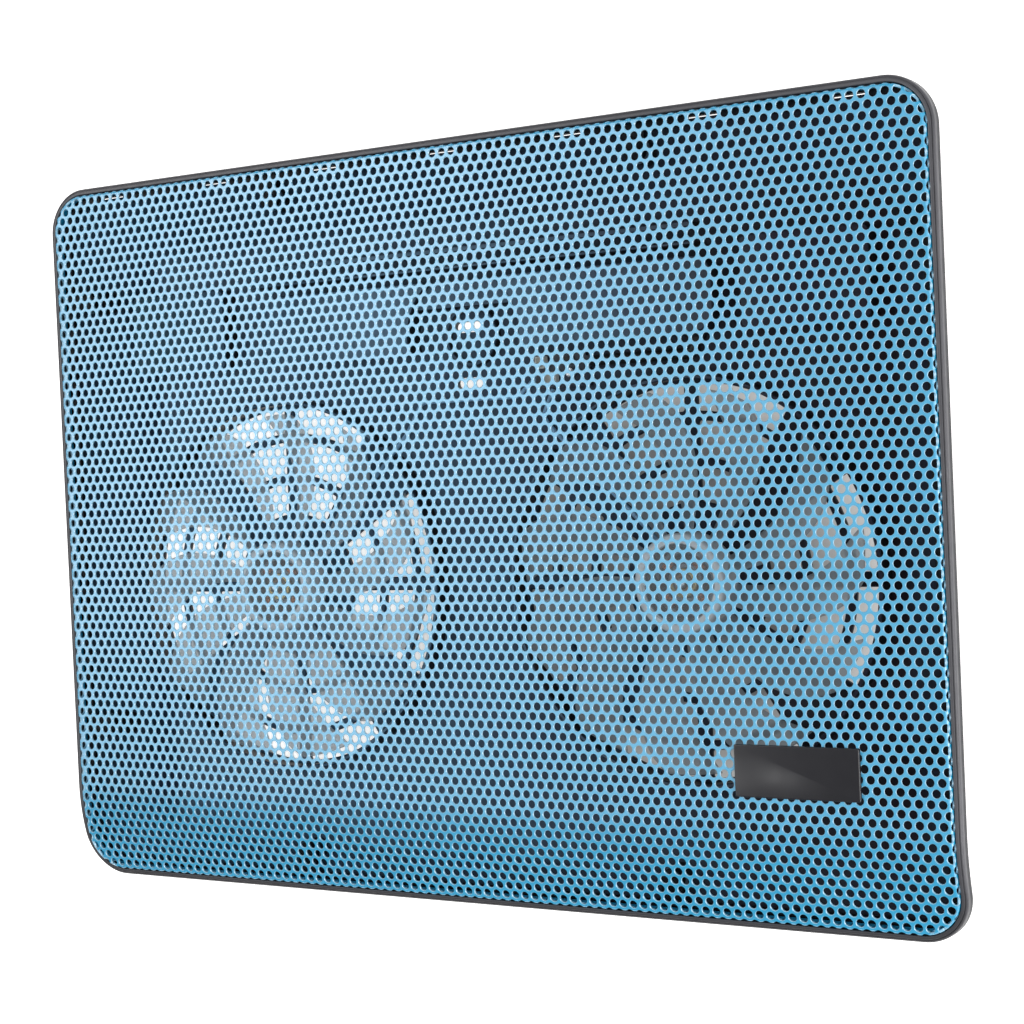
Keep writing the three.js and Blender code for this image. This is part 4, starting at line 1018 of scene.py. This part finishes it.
def bearing_tube(side):
    low, high = node_box(f"{side}_bearing_tube")
    inner, outer, flange = 3.3, 4.4, (high[0] - low[0]) / 2
    bottom, top = low[2], high[2]
    profile = [
        (inner, bottom), (flange - 0.1, bottom), (flange, bottom + 0.1), (flange, bottom + 0.4),
        (flange - 0.1, bottom + 0.5), (outer + 0.3, bottom + 0.5), (outer, bottom + 0.8), (outer, top - 0.2),
        (outer - 0.2, top), (inner + 0.15, top), (inner, top - 0.15),
    ]
    return lathe(f"{side}_turned_tube", profile, 48, tuple((low[:2] + high[:2]) / 2))


def winding(side, sign, index):
    """A coil: seven turns of wire side by side, wrapped round a pole of the stator."""
    low, length, turns = 6.1, 2.6, 7
    wire = length / turns
    outline = rounded_outline(1.85, 2.35, -2.35, 0.5, 6)
    outward = offset_outline(outline, 1) - outline
    around = np.linspace(0.15, math.pi - 0.15, 5)
    section = [(low, -0.3)]
    for turn in range(turns):
        middle = low + (turn + 0.5) * wire
        section += [(middle - wire / 2 * math.cos(a), 0.13 + wire / 2 * math.sin(a)) for a in around]
    section.append((low + length, -0.3))
    along, out = np.array(section).T
    rings = []
    for place, normal in zip(outline, outward):
        rings.append(np.column_stack([along, place[0] + normal[0] * out, place[1] + normal[1] * out]))
    coil = loft(f"{side}_winding_{index + 1}", rings, closed=True, sharp=60)
    turn = Matrix.Rotation(math.pi / 4 + 2 * math.pi * index / POLES, 4, "Z")
    low_corner, high_corner = node_box(f"{side}_coil_{index + 1}")
    height = (low_corner[2] + high_corner[2]) / 2
    coil.data.transform(Matrix.Translation(Vector((sign * FAN_X, FAN_Y, height)) * MM) @ turn)
    return coil


def motor_board(side, sign):
    """The round circuit board under the motor, with a notch in its edge."""
    low, high = node_box(f"{side}_motor_board")
    x, y = sign * FAN_X, FAN_Y
    board = turned_ring(f"{side}_motor_board", f"{side}_round_board", 4.7, 0.05)
    cut(board, block("notch", x - 1.2, x + 1.2, y + 10.8, y + 14, low[2] - 1, high[2] + 1, 0.3))
    return board


def fan_lead(side, sign):
    """The lead from the motor board, out along a diagonal arm of the grille, to the power board."""
    reach = math.sqrt(0.5)
    arm = [(sign * (FAN_X - radius * reach), FAN_Y + radius * reach) for radius in (13, 70)]
    across_floor = {"left": [(-21, 39.6), (16, 39.6), (22.7, 45)], "right": [(25, 33), (29, 41.2)]}
    corners = [(*corner, FLOOR_TOP + 0.8) for corner in arm + across_floor[side]]
    return tube(f"{side}_lead", rounded_path(corners, 3, 8), 0.7)


# ---------------------------------------------------------------- cable and power board

def power_board():
    """The bare board, a little smaller than its CAD block, which also stands for the parts on it."""
    low, high = node_box("power_board")
    top = low[2] + 1.2
    board = block("power_board_bare", low[0], high[0], low[1], high[1], low[2], top, 0.5, 0.08, 0.08)
    holes = [upright("hole", 0.6, low[2] - 1, top + 1, x, high[1] - 1, 20) for x in (low[0] + 1, high[0] - 1)]
    return shade_again(cut(board, merged("holes", holes)))


def board_parts():
    """Two white plug sockets, a capacitor and a chip on the power board."""
    low, high = node_box("power_board")
    top = low[2] + 1.2
    sockets = []
    for name, min_x, max_x, min_y, max_y in (("left", 24, 27.6, 47.8, 51.6), ("right", 26.5, 31.5, 43, 46.5)):
        socket = block(f"{name}_socket", min_x, max_x, min_y, max_y, top, high[2], 0.3, 0, 0.15)
        well = (min_x + 0.5, max_x - 0.5, min_y + 0.5, max_y - 0.5)
        cut(socket, block("well", *well, top + 0.5, high[2] + 1, 0.2))
        sockets.append(shade_again(socket))
    capacitor = upright("capacitor", 1.5, top, high[2], 36.5, 46, 32, 0.25)
    chip = block("switch_chip", 33, 37, 48.6, 51, top, top + 0.9, 0.1, 0, 0.1)
    return sockets, capacitor, chip


def usb_cable():
    near, middle, far = CABLE_RUNS_Y
    corners = [
        (43.4, 49.2), (80, 49.2), (80, near), (26, near), (26, middle), (80, middle), (80, far),
        (-22, far), (-31, middle), (-37.9, middle),
    ]
    path = rounded_path([(*corner, CABLE_Z) for corner in corners], 3.2, 9)
    return tube("round_cable", path, CABLE_RADIUS, 20)


def plug_grip():
    low, high = node_box("usb_plug_grip")
    body_end = -38.3
    grip = block("plug_grip", low[0], body_end, low[1], high[1], low[2], high[2], 2.4, 1.2, 1.2)
    middle = (low[1] + high[1]) / 2
    neck = [(body_end - 1, 3.4), (body_end + 0.4, 3.3)]
    for k in range(4):
        start = body_end + 0.5 + k * 0.95
        radius = 2.9 - 0.12 * k
        neck += [(start, radius), (start + 0.55, radius)]
        neck += [(start + 0.6, radius - 0.5), (start + 0.9, radius - 0.5)]
    rings = []
    turn = np.arange(32) * 2 * math.pi / 32
    for x, radius in neck:
        y, z = middle + radius * np.cos(turn), CABLE_Z + radius * np.sin(turn)
        rings.append(np.column_stack([np.full(32, x), y, z]))
    add(grip, loft("neck", rings))
    cut(grip, along_x("bore", CABLE_RADIUS + GAP, -40.5, -33, middle, CABLE_Z))
    grooves = []
    for x in (-55, -53, -51, -49):
        grooves.append(block("groove", x, x + 0.7, low[1] + 2.6, high[1] - 2.6, low[2] - 1, low[2] + 0.35, 0.3))
    return shade_again(cut(grip, merged("grooves", grooves)))


def plug_shell():
    """The plug's folded steel shell, with its two square windows on each face."""
    low, high = node_box("usb_plug_shell")
    wall = 0.35
    sideways = box_outline(low[1], high[1], low[2], high[2], 0.5, 4)
    shell = slab("plug_shell", sideways, low[0], high[0], 0.1, 0.1, 2)
    cavity = slab("cavity", offset_outline(sideways, -wall), low[0] - 1, high[0] - 1.2)
    cut(stand_up(shell, 0, 0, 0), stand_up(cavity, 0, 0, 0))
    middle = (low[1] + high[1]) / 2
    windows = []
    for y in (middle - 3, middle + 3):
        windows.append(block("window", low[0] + 4.2, low[0] + 6.6, y - 1.1, y + 1.1, low[2] - 1, high[2] + 1))
    return shade_again(cut(shell, merged("windows", windows)))


def plug_tongue():
    low, high = node_box("usb_plug_tongue")
    return block("plug_tongue", low[0], high[0], low[1], high[1], low[2], high[2], 0.2, 0.15, 0.15)


def cable_grommet():
    low, high = node_box("cable_grommet")
    x, z = (low[0] + high[0]) / 2, (low[2] + high[2]) / 2
    radius = (high[2] - low[2]) / 2
    body = along_y("rubber_grommet", radius, low[1], high[1], x, z, 36)
    return shade_again(cut(body, along_y("bore", CABLE_RADIUS + GAP, low[1] - 1, high[1] + 1, x, z)))


# ---------------------------------------------------------------- materials

class Look:
    """A node material in the making."""

    def __init__(self, name):
        self.material = bpy.data.materials.new(name)
        self.material.use_nodes = True
        self.tree = self.material.node_tree
        self.tree.nodes.clear()
        self.output = self.tree.nodes.new("ShaderNodeOutputMaterial")
        self.place = self.node("ShaderNodeTexCoord").outputs["Object"]

    def node(self, kind, inputs=None, **settings):
        node = self.tree.nodes.new(kind)
        for key, value in settings.items():
            setattr(node, key, value)
        for key, value in (inputs or {}).items():
            if isinstance(value, bpy.types.NodeSocket):
                self.tree.links.new(value, node.inputs[key])
            else:
                node.inputs[key].default_value = value
        return node

    def noise(self, size, detail=2.0, stretch=None):
        """Noise whose features are about size millimetres across."""
        place = self.place
        if stretch:
            place = self.node("ShaderNodeMapping", {"Vector": self.place, "Scale": stretch}).outputs["Vector"]
        node = self.node("ShaderNodeTexNoise", {"Vector": place, "Scale": 1 / (size * MM), "Detail": detail})
        return node.outputs["Fac"]

    def between(self, value, low, high, from_low=0.3, from_high=0.7):
        inputs = {"Value": value, "From Min": from_low, "From Max": from_high, "To Min": low, "To Max": high}
        return self.node("ShaderNodeMapRange", inputs).outputs["Result"]

    def mix(self, share, first, second):
        node = self.tree.nodes.new("ShaderNodeMix")
        node.data_type = "RGBA"
        for socket, kind, value in (("Factor", "VALUE", share), ("A", "RGBA", first), ("B", "RGBA", second)):
            target = next(s for s in node.inputs if s.name == socket and s.type == kind)
            if isinstance(value, bpy.types.NodeSocket):
                self.tree.links.new(value, target)
            else:
                target.default_value = value if socket == "Factor" else (*value, 1)
        return next(s for s in node.outputs if s.type == "RGBA")

    def bump(self, height, depth):
        """A bump depth millimetres high."""
        inputs = {"Height": height, "Distance": depth * MM, "Strength": 1.0}
        return self.node("ShaderNodeBump", inputs).outputs["Normal"]

    def along(self, vector, axis):
        return self.node("ShaderNodeSeparateXYZ", {"Vector": vector}).outputs[axis]

    def maths(self, operation, *values):
        return self.node("ShaderNodeMath", dict(enumerate(values)), operation=operation).outputs[0]

    def scaled(self, colour, amount):
        inputs = {0: colour, "Scale": amount}
        return self.node("ShaderNodeVectorMath", inputs, operation="SCALE").outputs["Vector"]

    def distance(self, x, y):
        """Distance, in metres, from a place on the floor given in millimetres."""
        inputs = {0: self.place, 1: (x * MM, y * MM, 0)}
        return self.node("ShaderNodeVectorMath", inputs, operation="DISTANCE").outputs["Value"]

    def principled(self, **inputs):
        named = {key.replace("_", " "): value for key, value in inputs.items()}
        return self.node("ShaderNodeBsdfPrincipled", named).outputs["BSDF"]

    def done(self, shader):
        self.tree.links.new(shader, self.output.inputs["Surface"])
        return self.material


def tinted(colour, amount):
    return tuple(min(1.0, channel * amount) for channel in colour)


def plain_look(name, colour, roughness, grain=0.4, depth=0.01, mottle=18, spread=0.12, rough_spread=0.06):
    """A moulded, cast or painted surface: mottled colour, uneven roughness and a fine grain."""
    look = Look(name)
    patches = look.noise(mottle, 3)
    colour_mix = look.mix(look.between(patches, 0, 1), tinted(colour, 1 - spread), tinted(colour, 1 + spread))
    fine = look.noise(grain, 2)
    rough = look.between(look.noise(mottle / 4, 2), roughness - rough_spread, roughness + rough_spread)
    normal = look.bump(fine, depth)
    return look.done(look.principled(Base_Color=colour_mix, Roughness=rough, Normal=normal))


def painted_steel():
    """Sky-blue powder coat with a fine orange peel. A painted highlight makes it pale round each punched hole.
    """
    look = Look("blue_powder_coat")
    patches = look.noise(30, 3)
    paint = look.mix(look.between(patches, 0, 1), (0.008, 0.390, 0.690), (0.014, 0.420, 0.735))
    edge = look.node("ShaderNodeAttribute", attribute_name="hole_edge").outputs["Fac"]
    # Painted highlight: points on each hole's narrow ring are paled towards a light blue.
    paint = look.mix(look.between(edge, 0, 1, 0.0, 0.3), paint, (0.40, 0.72, 0.92))
    rough = look.between(look.noise(1.5, 2), 0.32, 0.38)
    normal = look.bump(look.noise(0.7, 2), 0.012)
    return look.done(look.principled(
        Base_Color=paint, Roughness=rough, Normal=normal, Specular_IOR_Level=0.9,
        Coat_Weight=1.0, Coat_IOR=1.8, Coat_Roughness=0.35,
    ))


def rim_look():
    """Dark grey moulding, glossier on its outer face and top. Below the top it is darkened to near black as
    painted shade, and it darkens towards the front edge as painted shade too.
    """
    look = Look("rim_moulding")
    patches = look.between(look.noise(18, 3), 0.9, 1.1)
    depth = look.node("ShaderNodeAttribute", attribute_name="below_top").outputs["Fac"]
    # Painted shade: below the top the grey falls to near black.
    colour = look.mix(look.between(depth, 0, 1, 2.2, 3.2), (0.078, 0.078, 0.088), (0.006, 0.008, 0.012))
    # Painted shade towards the front edge.
    front_painted_shade = look.between(look.along(look.place, "Y"), 0.65, 1.0, -117 * MM, -100 * MM)
    mottled = look.scaled(colour, look.maths("MULTIPLY", patches, front_painted_shade))
    rough = look.between(look.noise(4, 2), 0.38, 0.48)
    gloss = look.between(depth, 0.5, 0.15, 2.2, 3.2)
    normal = look.bump(look.noise(0.35, 2), 0.02)
    return look.done(look.principled(
        Base_Color=mottled, Roughness=rough, Normal=normal, Specular_IOR_Level=gloss,
    ))


TRAY_OUTSIDE = (0.014, 0.0145, 0.017)


def across(look, coordinate, stops):
    """A colour that runs through (place in mm, colour) stops along one coordinate."""
    colour = stops[0][1]
    for (start, _), (end, following) in zip(stops, stops[1:]):
        colour = look.mix(look.between(coordinate, 0, 1, start * MM, end * MM), colour, following)
    return colour


def tray_look():
    """Black moulding. Its upward faces are painted with light and shade: painted light, bluer to the left and
    dimmer and warmer to the right, is stronger on raised faces near the blue sheet and on level faces than on
    slopes. Downward faces keep the moulding's own black.
    """
    look = Look("tray_moulding")
    patches = look.between(look.noise(18, 3), 0.85, 1.15, 0.3, 0.7)
    sideways, height = look.along(look.place, "X"), look.along(look.place, "Z")
    off_centre = look.maths("ABSOLUTE", sideways)
    upward = look.along(look.node("ShaderNodeNewGeometry").outputs["Normal"], "Z")
    # Painted light and shade on the floor: lighter and bluer at the left, darker and warmer at the right, with
    # the floor's ends set apart.
    ends = across(look, sideways, ((-100, (0.014, 0.033, 0.066)), (120, (0.029, 0.023, 0.030))))
    middle = across(look, sideways, (
        (-20, (0.086, 0.136, 0.196)), (30, (0.067, 0.091, 0.132)), (100, (0.036, 0.035, 0.045)),
    ))
    floor_colour = look.mix(look.between(off_centre, 0, 1, 128 * MM, 135 * MM), middle, ends)
    # Painted light on the raised roofs, strongest just left of the middle.
    roof = across(look, sideways, (
        (-125, (0.059, 0.119, 0.157)), (-95, (0.079, 0.141, 0.211)), (-60, (0.092, 0.154, 0.221)),
        (-40, (0.178, 0.273, 0.363)), (0, (0.165, 0.251, 0.338)), (55, (0.117, 0.158, 0.216)),
        (90, (0.096, 0.110, 0.137)), (110, (0.044, 0.042, 0.061)),
    ))
    # Painted shade on the slopes.
    slope = across(look, sideways, ((-90, (0.033, 0.064, 0.103)), (110, (0.038, 0.042, 0.059))))
    level = look.between(upward, 0, 1, 0.93, 0.98)
    low, raised = look.mix(level, slope, floor_colour), look.mix(level, slope, roof)
    # Painted light: faces nearer the sheet take the roof colour, lower faces the floor colour.
    inside = look.mix(look.between(height, 0, 1, (FLOOR_TOP + 1) * MM, (BAY_TOP + BAY_WALL) * MM), low, raised)
    # Only upward faces carry the painted light and shade; downward faces keep the moulding's own black.
    colour = look.mix(look.between(upward, 0, 1, 0.0, 0.3), TRAY_OUTSIDE, inside)
    mottled = look.scaled(colour, patches)
    rough = look.between(look.noise(4, 2), 0.46, 0.56)
    gloss = look.between(upward, 0.5, 0.05, 0.0, 0.3)
    normal = look.bump(look.noise(0.4, 2), 0.03)
    return look.done(look.principled(
        Base_Color=mottled, Roughness=rough, Normal=normal, Specular_IOR_Level=gloss,
    ))


def metal_look(name, colour, roughness, stretch=(1, 1, 8), grain=0.5, depth=0.006):
    """Turned or rolled metal: fine lines and a little staining."""
    look = Look(name)
    lines = look.noise(grain, 2, stretch)
    stain = look.noise(4, 3)
    tint = look.mix(look.between(stain, 0, 1), tinted(colour, 0.85), tinted(colour, 1.1))
    rough = look.between(lines, roughness - 0.08, roughness + 0.1)
    normal = look.bump(lines, depth)
    return look.done(look.principled(Base_Color=tint, Roughness=rough, Metallic=1.0, Normal=normal))


def laminated_look(name, colour):
    """Stacked stampings: fine level lines."""
    look = Look(name)
    inputs = {"Vector": look.place, "Scale": 420.0, "Distortion": 0.4}
    lines = look.node("ShaderNodeTexWave", inputs, bands_direction="Z").outputs["Fac"]
    tint = look.mix(lines, tinted(colour, 0.6), colour)
    normal = look.bump(lines, 0.03)
    return look.done(look.principled(Base_Color=tint, Roughness=0.42, Metallic=0.9, Normal=normal))


def frosted_plastic():
    """Clear moulded plastic: frosted blades, a clear window over the motor, and round the hub a white ring,
    partly the frost of thicker plastic and partly a painted highlight with a painted glow.
    """
    look = Look("frosted_clear_plastic")
    inputs = {0: look.place, 1: (1, 1, 0)}
    flat = look.node("ShaderNodeVectorMath", inputs, operation="MULTIPLY").outputs["Vector"]
    radius = look.node("ShaderNodeVectorMath", {0: flat}, operation="LENGTH").outputs["Value"]
    blades = look.between(look.noise(12, 3), 0.44, 0.54)
    past_window = look.between(radius, 0, 1, 11.9 * MM, 12.4 * MM)
    past_ring = look.between(radius, 0, 1, 14.4 * MM, 15.4 * MM)
    hub = look.between(past_window, 0.86, 0.04, 0, 1)
    open_share = look.node("ShaderNodeMix", {0: past_ring, 2: hub, 3: blades}).outputs[0]
    fine = look.noise(0.5, 2)
    # The ring's white is partly frost and partly painted highlight.
    frost_and_ring_highlight = look.mix(past_ring, (0.95, 0.98, 1.0), (0.52, 0.56, 0.59))
    skin = look.principled(
        Base_Color=frost_and_ring_highlight, Roughness=look.between(fine, 0.30, 0.42), Normal=look.bump(fine, 0.004),
        Specular_IOR_Level=1.0, Coat_Weight=0.6, Coat_Roughness=0.35,
        # Painted glow: the ring gives off light though it is no lamp.
        Emission_Color=(0.93, 0.97, 1.0, 1), Emission_Strength=look.between(past_ring, 0.14, 0.0, 0, 1),
    )
    glow = look.node("ShaderNodeBsdfTranslucent", {"Color": (0.62, 0.66, 0.69, 1)}).outputs["BSDF"]
    body = look.node("ShaderNodeMixShader", {0: 0.4, 1: skin, 2: glow}).outputs["Shader"]
    clear = look.node("ShaderNodeBsdfTransparent", {"Color": (0.90, 0.92, 0.93, 1)}).outputs["BSDF"]
    return look.done(look.node("ShaderNodeMixShader", {0: open_share, 1: body, 2: clear}).outputs["Shader"])


LOOKS = {
    "blue_steel": painted_steel(),
    "rim_plastic": rim_look(),
    "tray_plastic": tray_look(),
    "plate": plain_look(
        "plate_lacquer", (0.018, 0.018, 0.022), 0.24, grain=0.25, depth=0.001, spread=0.03, rough_spread=0.02,
    ),
    "clear_plastic": frosted_plastic(),
    "bright_steel": metal_look("bright_steel", (0.62, 0.63, 0.65), 0.28),
    "screw_steel": metal_look("black_zinc", (0.09, 0.09, 0.10), 0.38),
    "laminated_steel": laminated_look("stacked_laminations", (0.42, 0.43, 0.45)),
    "magnet": plain_look("bonded_ferrite", (0.05, 0.045, 0.045), 0.6, grain=0.2, depth=0.02),
    "brass": metal_look("turned_brass", (0.62, 0.44, 0.17), 0.3),
    "bronze": metal_look("sintered_bronze", (0.36, 0.21, 0.10), 0.5, stretch=(1, 1, 1), grain=0.15),
    "copper_wire": metal_look("enamelled_copper", (0.62, 0.22, 0.07), 0.25, stretch=(1, 1, 1)),
    "circuit_board": plain_look("solder_mask", (0.008, 0.020, 0.045), 0.35, grain=0.8, mottle=3, spread=0.3),
    "fan_wire": plain_look("pale_blue_vinyl", (0.30, 0.52, 0.75), 0.35, grain=0.8, mottle=6),
    "cable_sheath": plain_look("black_vinyl", (0.014, 0.014, 0.015), 0.45, grain=0.3, depth=0.02, mottle=8),
    "white_plastic": plain_look("natural_nylon", (0.72, 0.71, 0.66), 0.45, grain=0.3, mottle=5, spread=0.05),
    "rubber": plain_look("black_rubber", (0.016, 0.016, 0.017), 0.75, grain=0.25, depth=0.03, mottle=4),
}


LEG_LOOK = plain_look("leg_moulding", TRAY_OUTSIDE, 0.5, grain=0.4, depth=0.03)


# ---------------------------------------------------------------- assembly

def fit(obj, slot, body, *nodes, look=None):
    """Gives a piece its finish, lets it stand for CAD nodes and ties it to its body."""
    obj.data.materials.clear()
    obj.data.materials.append(look or LOOKS[slot])
    if nodes:
        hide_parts(*nodes)
    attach(obj, body)
    return obj


for strip in perforated_sheet():
    fit(strip, "blue_steel", "pad", "mesh_panel")
fit(rim(), "rim_plastic", "pad", "top_frame")
fit(tray(), "tray_plastic", "pad", "base_tray")
fit(name_plate(), "plate", "pad", "name_plate")
for side, sign in (("left", -1), ("right", 1)):
    fan, leg = f"{side}_fan", f"{side}_leg"
    fit(rotor(side, sign), "clear_plastic", fan, f"{side}_rotor")
    for part, name, inner, edge, slot, body in (
        ("rotor_yoke", "steel_ring", 12.5, 0.15, "bright_steel", fan),
        ("rotor_magnet", "ring_magnet", 10.9, 0.15, "magnet", fan),
        ("shaft_clip", "clip", 1.8, 0.05, "white_plastic", fan),
        ("bearing_sleeve", "sleeve", 1.8, 0.1, "bronze", "pad"),
    ):
        node = f"{side}_{part}"
        fit(turned_ring(node, f"{side}_{name}", inner, edge), slot, body, node)
    fit(shaft(side), "bright_steel", fan, f"{side}_shaft")
    fit(bearing_tube(side), "brass", "pad", f"{side}_bearing_tube")
    fit(motor_board(side, sign), "circuit_board", "pad", f"{side}_motor_board")
    for index in range(POLES):
        fit(winding(side, sign, index), "copper_wire", "pad", f"{side}_coil_{index + 1}")
    fit(fan_lead(side, sign), "fan_wire", "pad", f"{side}_fan_lead")
    fit(rear_leg(side), "tray_plastic", leg, f"{side}_rear_leg", look=LEG_LOOK)
    fit(leg_pad(side), "rubber", leg, f"{side}_leg_pad")
    fit(leg_pin(side), "bright_steel", "pad", f"{side}_leg_pin")
    for end in ("front", "rear"):
        fit(rubber_foot(f"{side}_{end}_foot"), "rubber", "pad", f"{side}_{end}_foot")
for number in range(1, 9):
    fit(tray_screw(number), "screw_steel", "pad", f"tray_screw_{number}")
fit(power_board(), "circuit_board", "pad", "power_board")
sockets, capacitor, chip = board_parts()
for socket in sockets:
    fit(socket, "white_plastic", "pad", "power_board")
fit(capacitor, "bright_steel", "pad", "power_board")
fit(chip, "cable_sheath", "pad", "power_board")
fit(usb_cable(), "cable_sheath", "pad", "usb_cable")
fit(plug_grip(), "cable_sheath", "pad", "usb_plug_grip")
fit(plug_shell(), "bright_steel", "pad", "usb_plug_shell")
fit(plug_tongue(), "white_plastic", "pad", "usb_plug_tongue")
fit(cable_grommet(), "rubber", "pad", "cable_grommet")

# The stator cores stay as the CAD drew them, with their edges broken.
for side in ("left", "right"):
    core = frame["nodes"][f"{side}_stator_core"]
    core.data.materials.clear()
    core.data.materials.append(LOOKS["laminated_steel"])
    weld = core.modifiers.new("weld", "WELD")
    weld.merge_threshold = 0.001 * MM
    bevel = core.modifiers.new("edges", "BEVEL")
    bevel.width = 0.08 * MM
    bevel.segments = 2
    bevel.angle_limit = math.radians(40)


# ---------------------------------------------------------------- floor, light, camera

def floor():
    """A pale floor just under the feet, with painted shadow under the fans, deepest under the right one. It
    can't be seen from below.
    """
    size = 4000
    corners = at_height(box_outline(-size, size, -size, size), -0.4)
    ground = mesh_object("floor", corners, [(0, 1, 2, 3)])
    look = Look("pale_floor")
    from_right, from_left = look.distance(62, -20), look.distance(-62, -20)
    under_right = (45 * MM, 105 * MM)
    # Painted shadow: the floor's own colour darkens under the right fan, and its glow dims under both fans.
    card_with_painted_shadow = look.mix(look.between(from_right, 0, 1, *under_right), (0.34, 0.34, 0.35), (0.82, 0.82, 0.83))
    shade_right = look.between(from_right, 0.06, 1.0, *under_right)
    shade_left = look.between(from_left, 0.72, 1.0, 50 * MM, 90 * MM)
    dimmed = look.maths("MULTIPLY", shade_right, shade_left)
    matt = look.principled(Base_Color=card_with_painted_shadow, Roughness=0.9)
    inputs = {"Color": (1.0, 0.985, 0.965, 1), "Strength": dimmed}
    light = look.node("ShaderNodeEmission", inputs).outputs["Emission"]
    lit = look.node("ShaderNodeAddShader", {0: matt, 1: light}).outputs["Shader"]
    clear = look.node("ShaderNodeBsdfTransparent").outputs["BSDF"]
    back = look.node("ShaderNodeNewGeometry").outputs["Backfacing"]
    either = look.node("ShaderNodeMixShader", {0: back, 1: lit, 2: clear}).outputs["Shader"]
    ground.data.materials.append(look.done(either))


def softbox(name, place, aim, width, height, power):
    light = bpy.data.lights.new(name, "AREA")
    light.shape = "RECTANGLE"
    light.size, light.size_y = width * MM, height * MM
    light.energy = power
    obj = bpy.data.objects.new(name, light)
    bpy.context.scene.collection.objects.link(obj)
    obj.location = Vector(place) * MM
    obj.rotation_euler = (Vector(aim) - Vector(place)).to_track_quat("-Z", "Y").to_euler()
    obj.visible_camera = False


def world():
    """White to the eye, and a softer even light for everything else."""
    scene = bpy.context.scene
    scene.world = bpy.data.worlds.new("studio")
    scene.world.use_nodes = True
    nodes, links = scene.world.node_tree.nodes, scene.world.node_tree.links
    nodes.clear()
    seen, soft = nodes.new("ShaderNodeBackground"), nodes.new("ShaderNodeBackground")
    seen.inputs["Strength"].default_value = 1.0
    soft.inputs["Strength"].default_value = 0.24
    for background in (seen, soft):
        background.inputs["Color"].default_value = (1, 1, 1, 1)
    mix, output = nodes.new("ShaderNodeMixShader"), nodes.new("ShaderNodeOutputWorld")
    links.new(nodes.new("ShaderNodeLightPath").outputs["Is Camera Ray"], mix.inputs[0])
    links.new(soft.outputs[0], mix.inputs[1])
    links.new(seen.outputs[0], mix.inputs[2])
    links.new(mix.outputs[0], output.inputs["Surface"])


def camera():
    lens = bpy.data.cameras.new("camera")
    lens.lens = 74.68
    lens.sensor_width = 36
    lens.clip_start, lens.clip_end = 0.01, 20
    obj = bpy.data.objects.new("camera", lens)
    bpy.context.scene.collection.objects.link(obj)
    obj.location = Vector((370.64, 17.86, 578.53)) * MM
    obj.rotation_euler = [math.radians(angle) for angle in (-2.8214, 31.9839, -2.9526)]
    bpy.context.scene.camera = obj


floor()
world()
camera()
softbox("key", (-900, 250, 1130), (-60, 20, 0), 1120, 580, 8.6)
softbox("top", (600, -100, 1350), (0, 0, 0), 900, 900, 4)
softbox("right", (1000, -200, 500), (100, 0, 0), 600, 600, 8)
softbox("plate_glint", (-543, -292, 1358), (103, -73, 25), 60, 90, 0.35)
bpy.context.scene.view_settings.view_transform = "Standard"
bpy.context.scene.view_settings.look = "None"
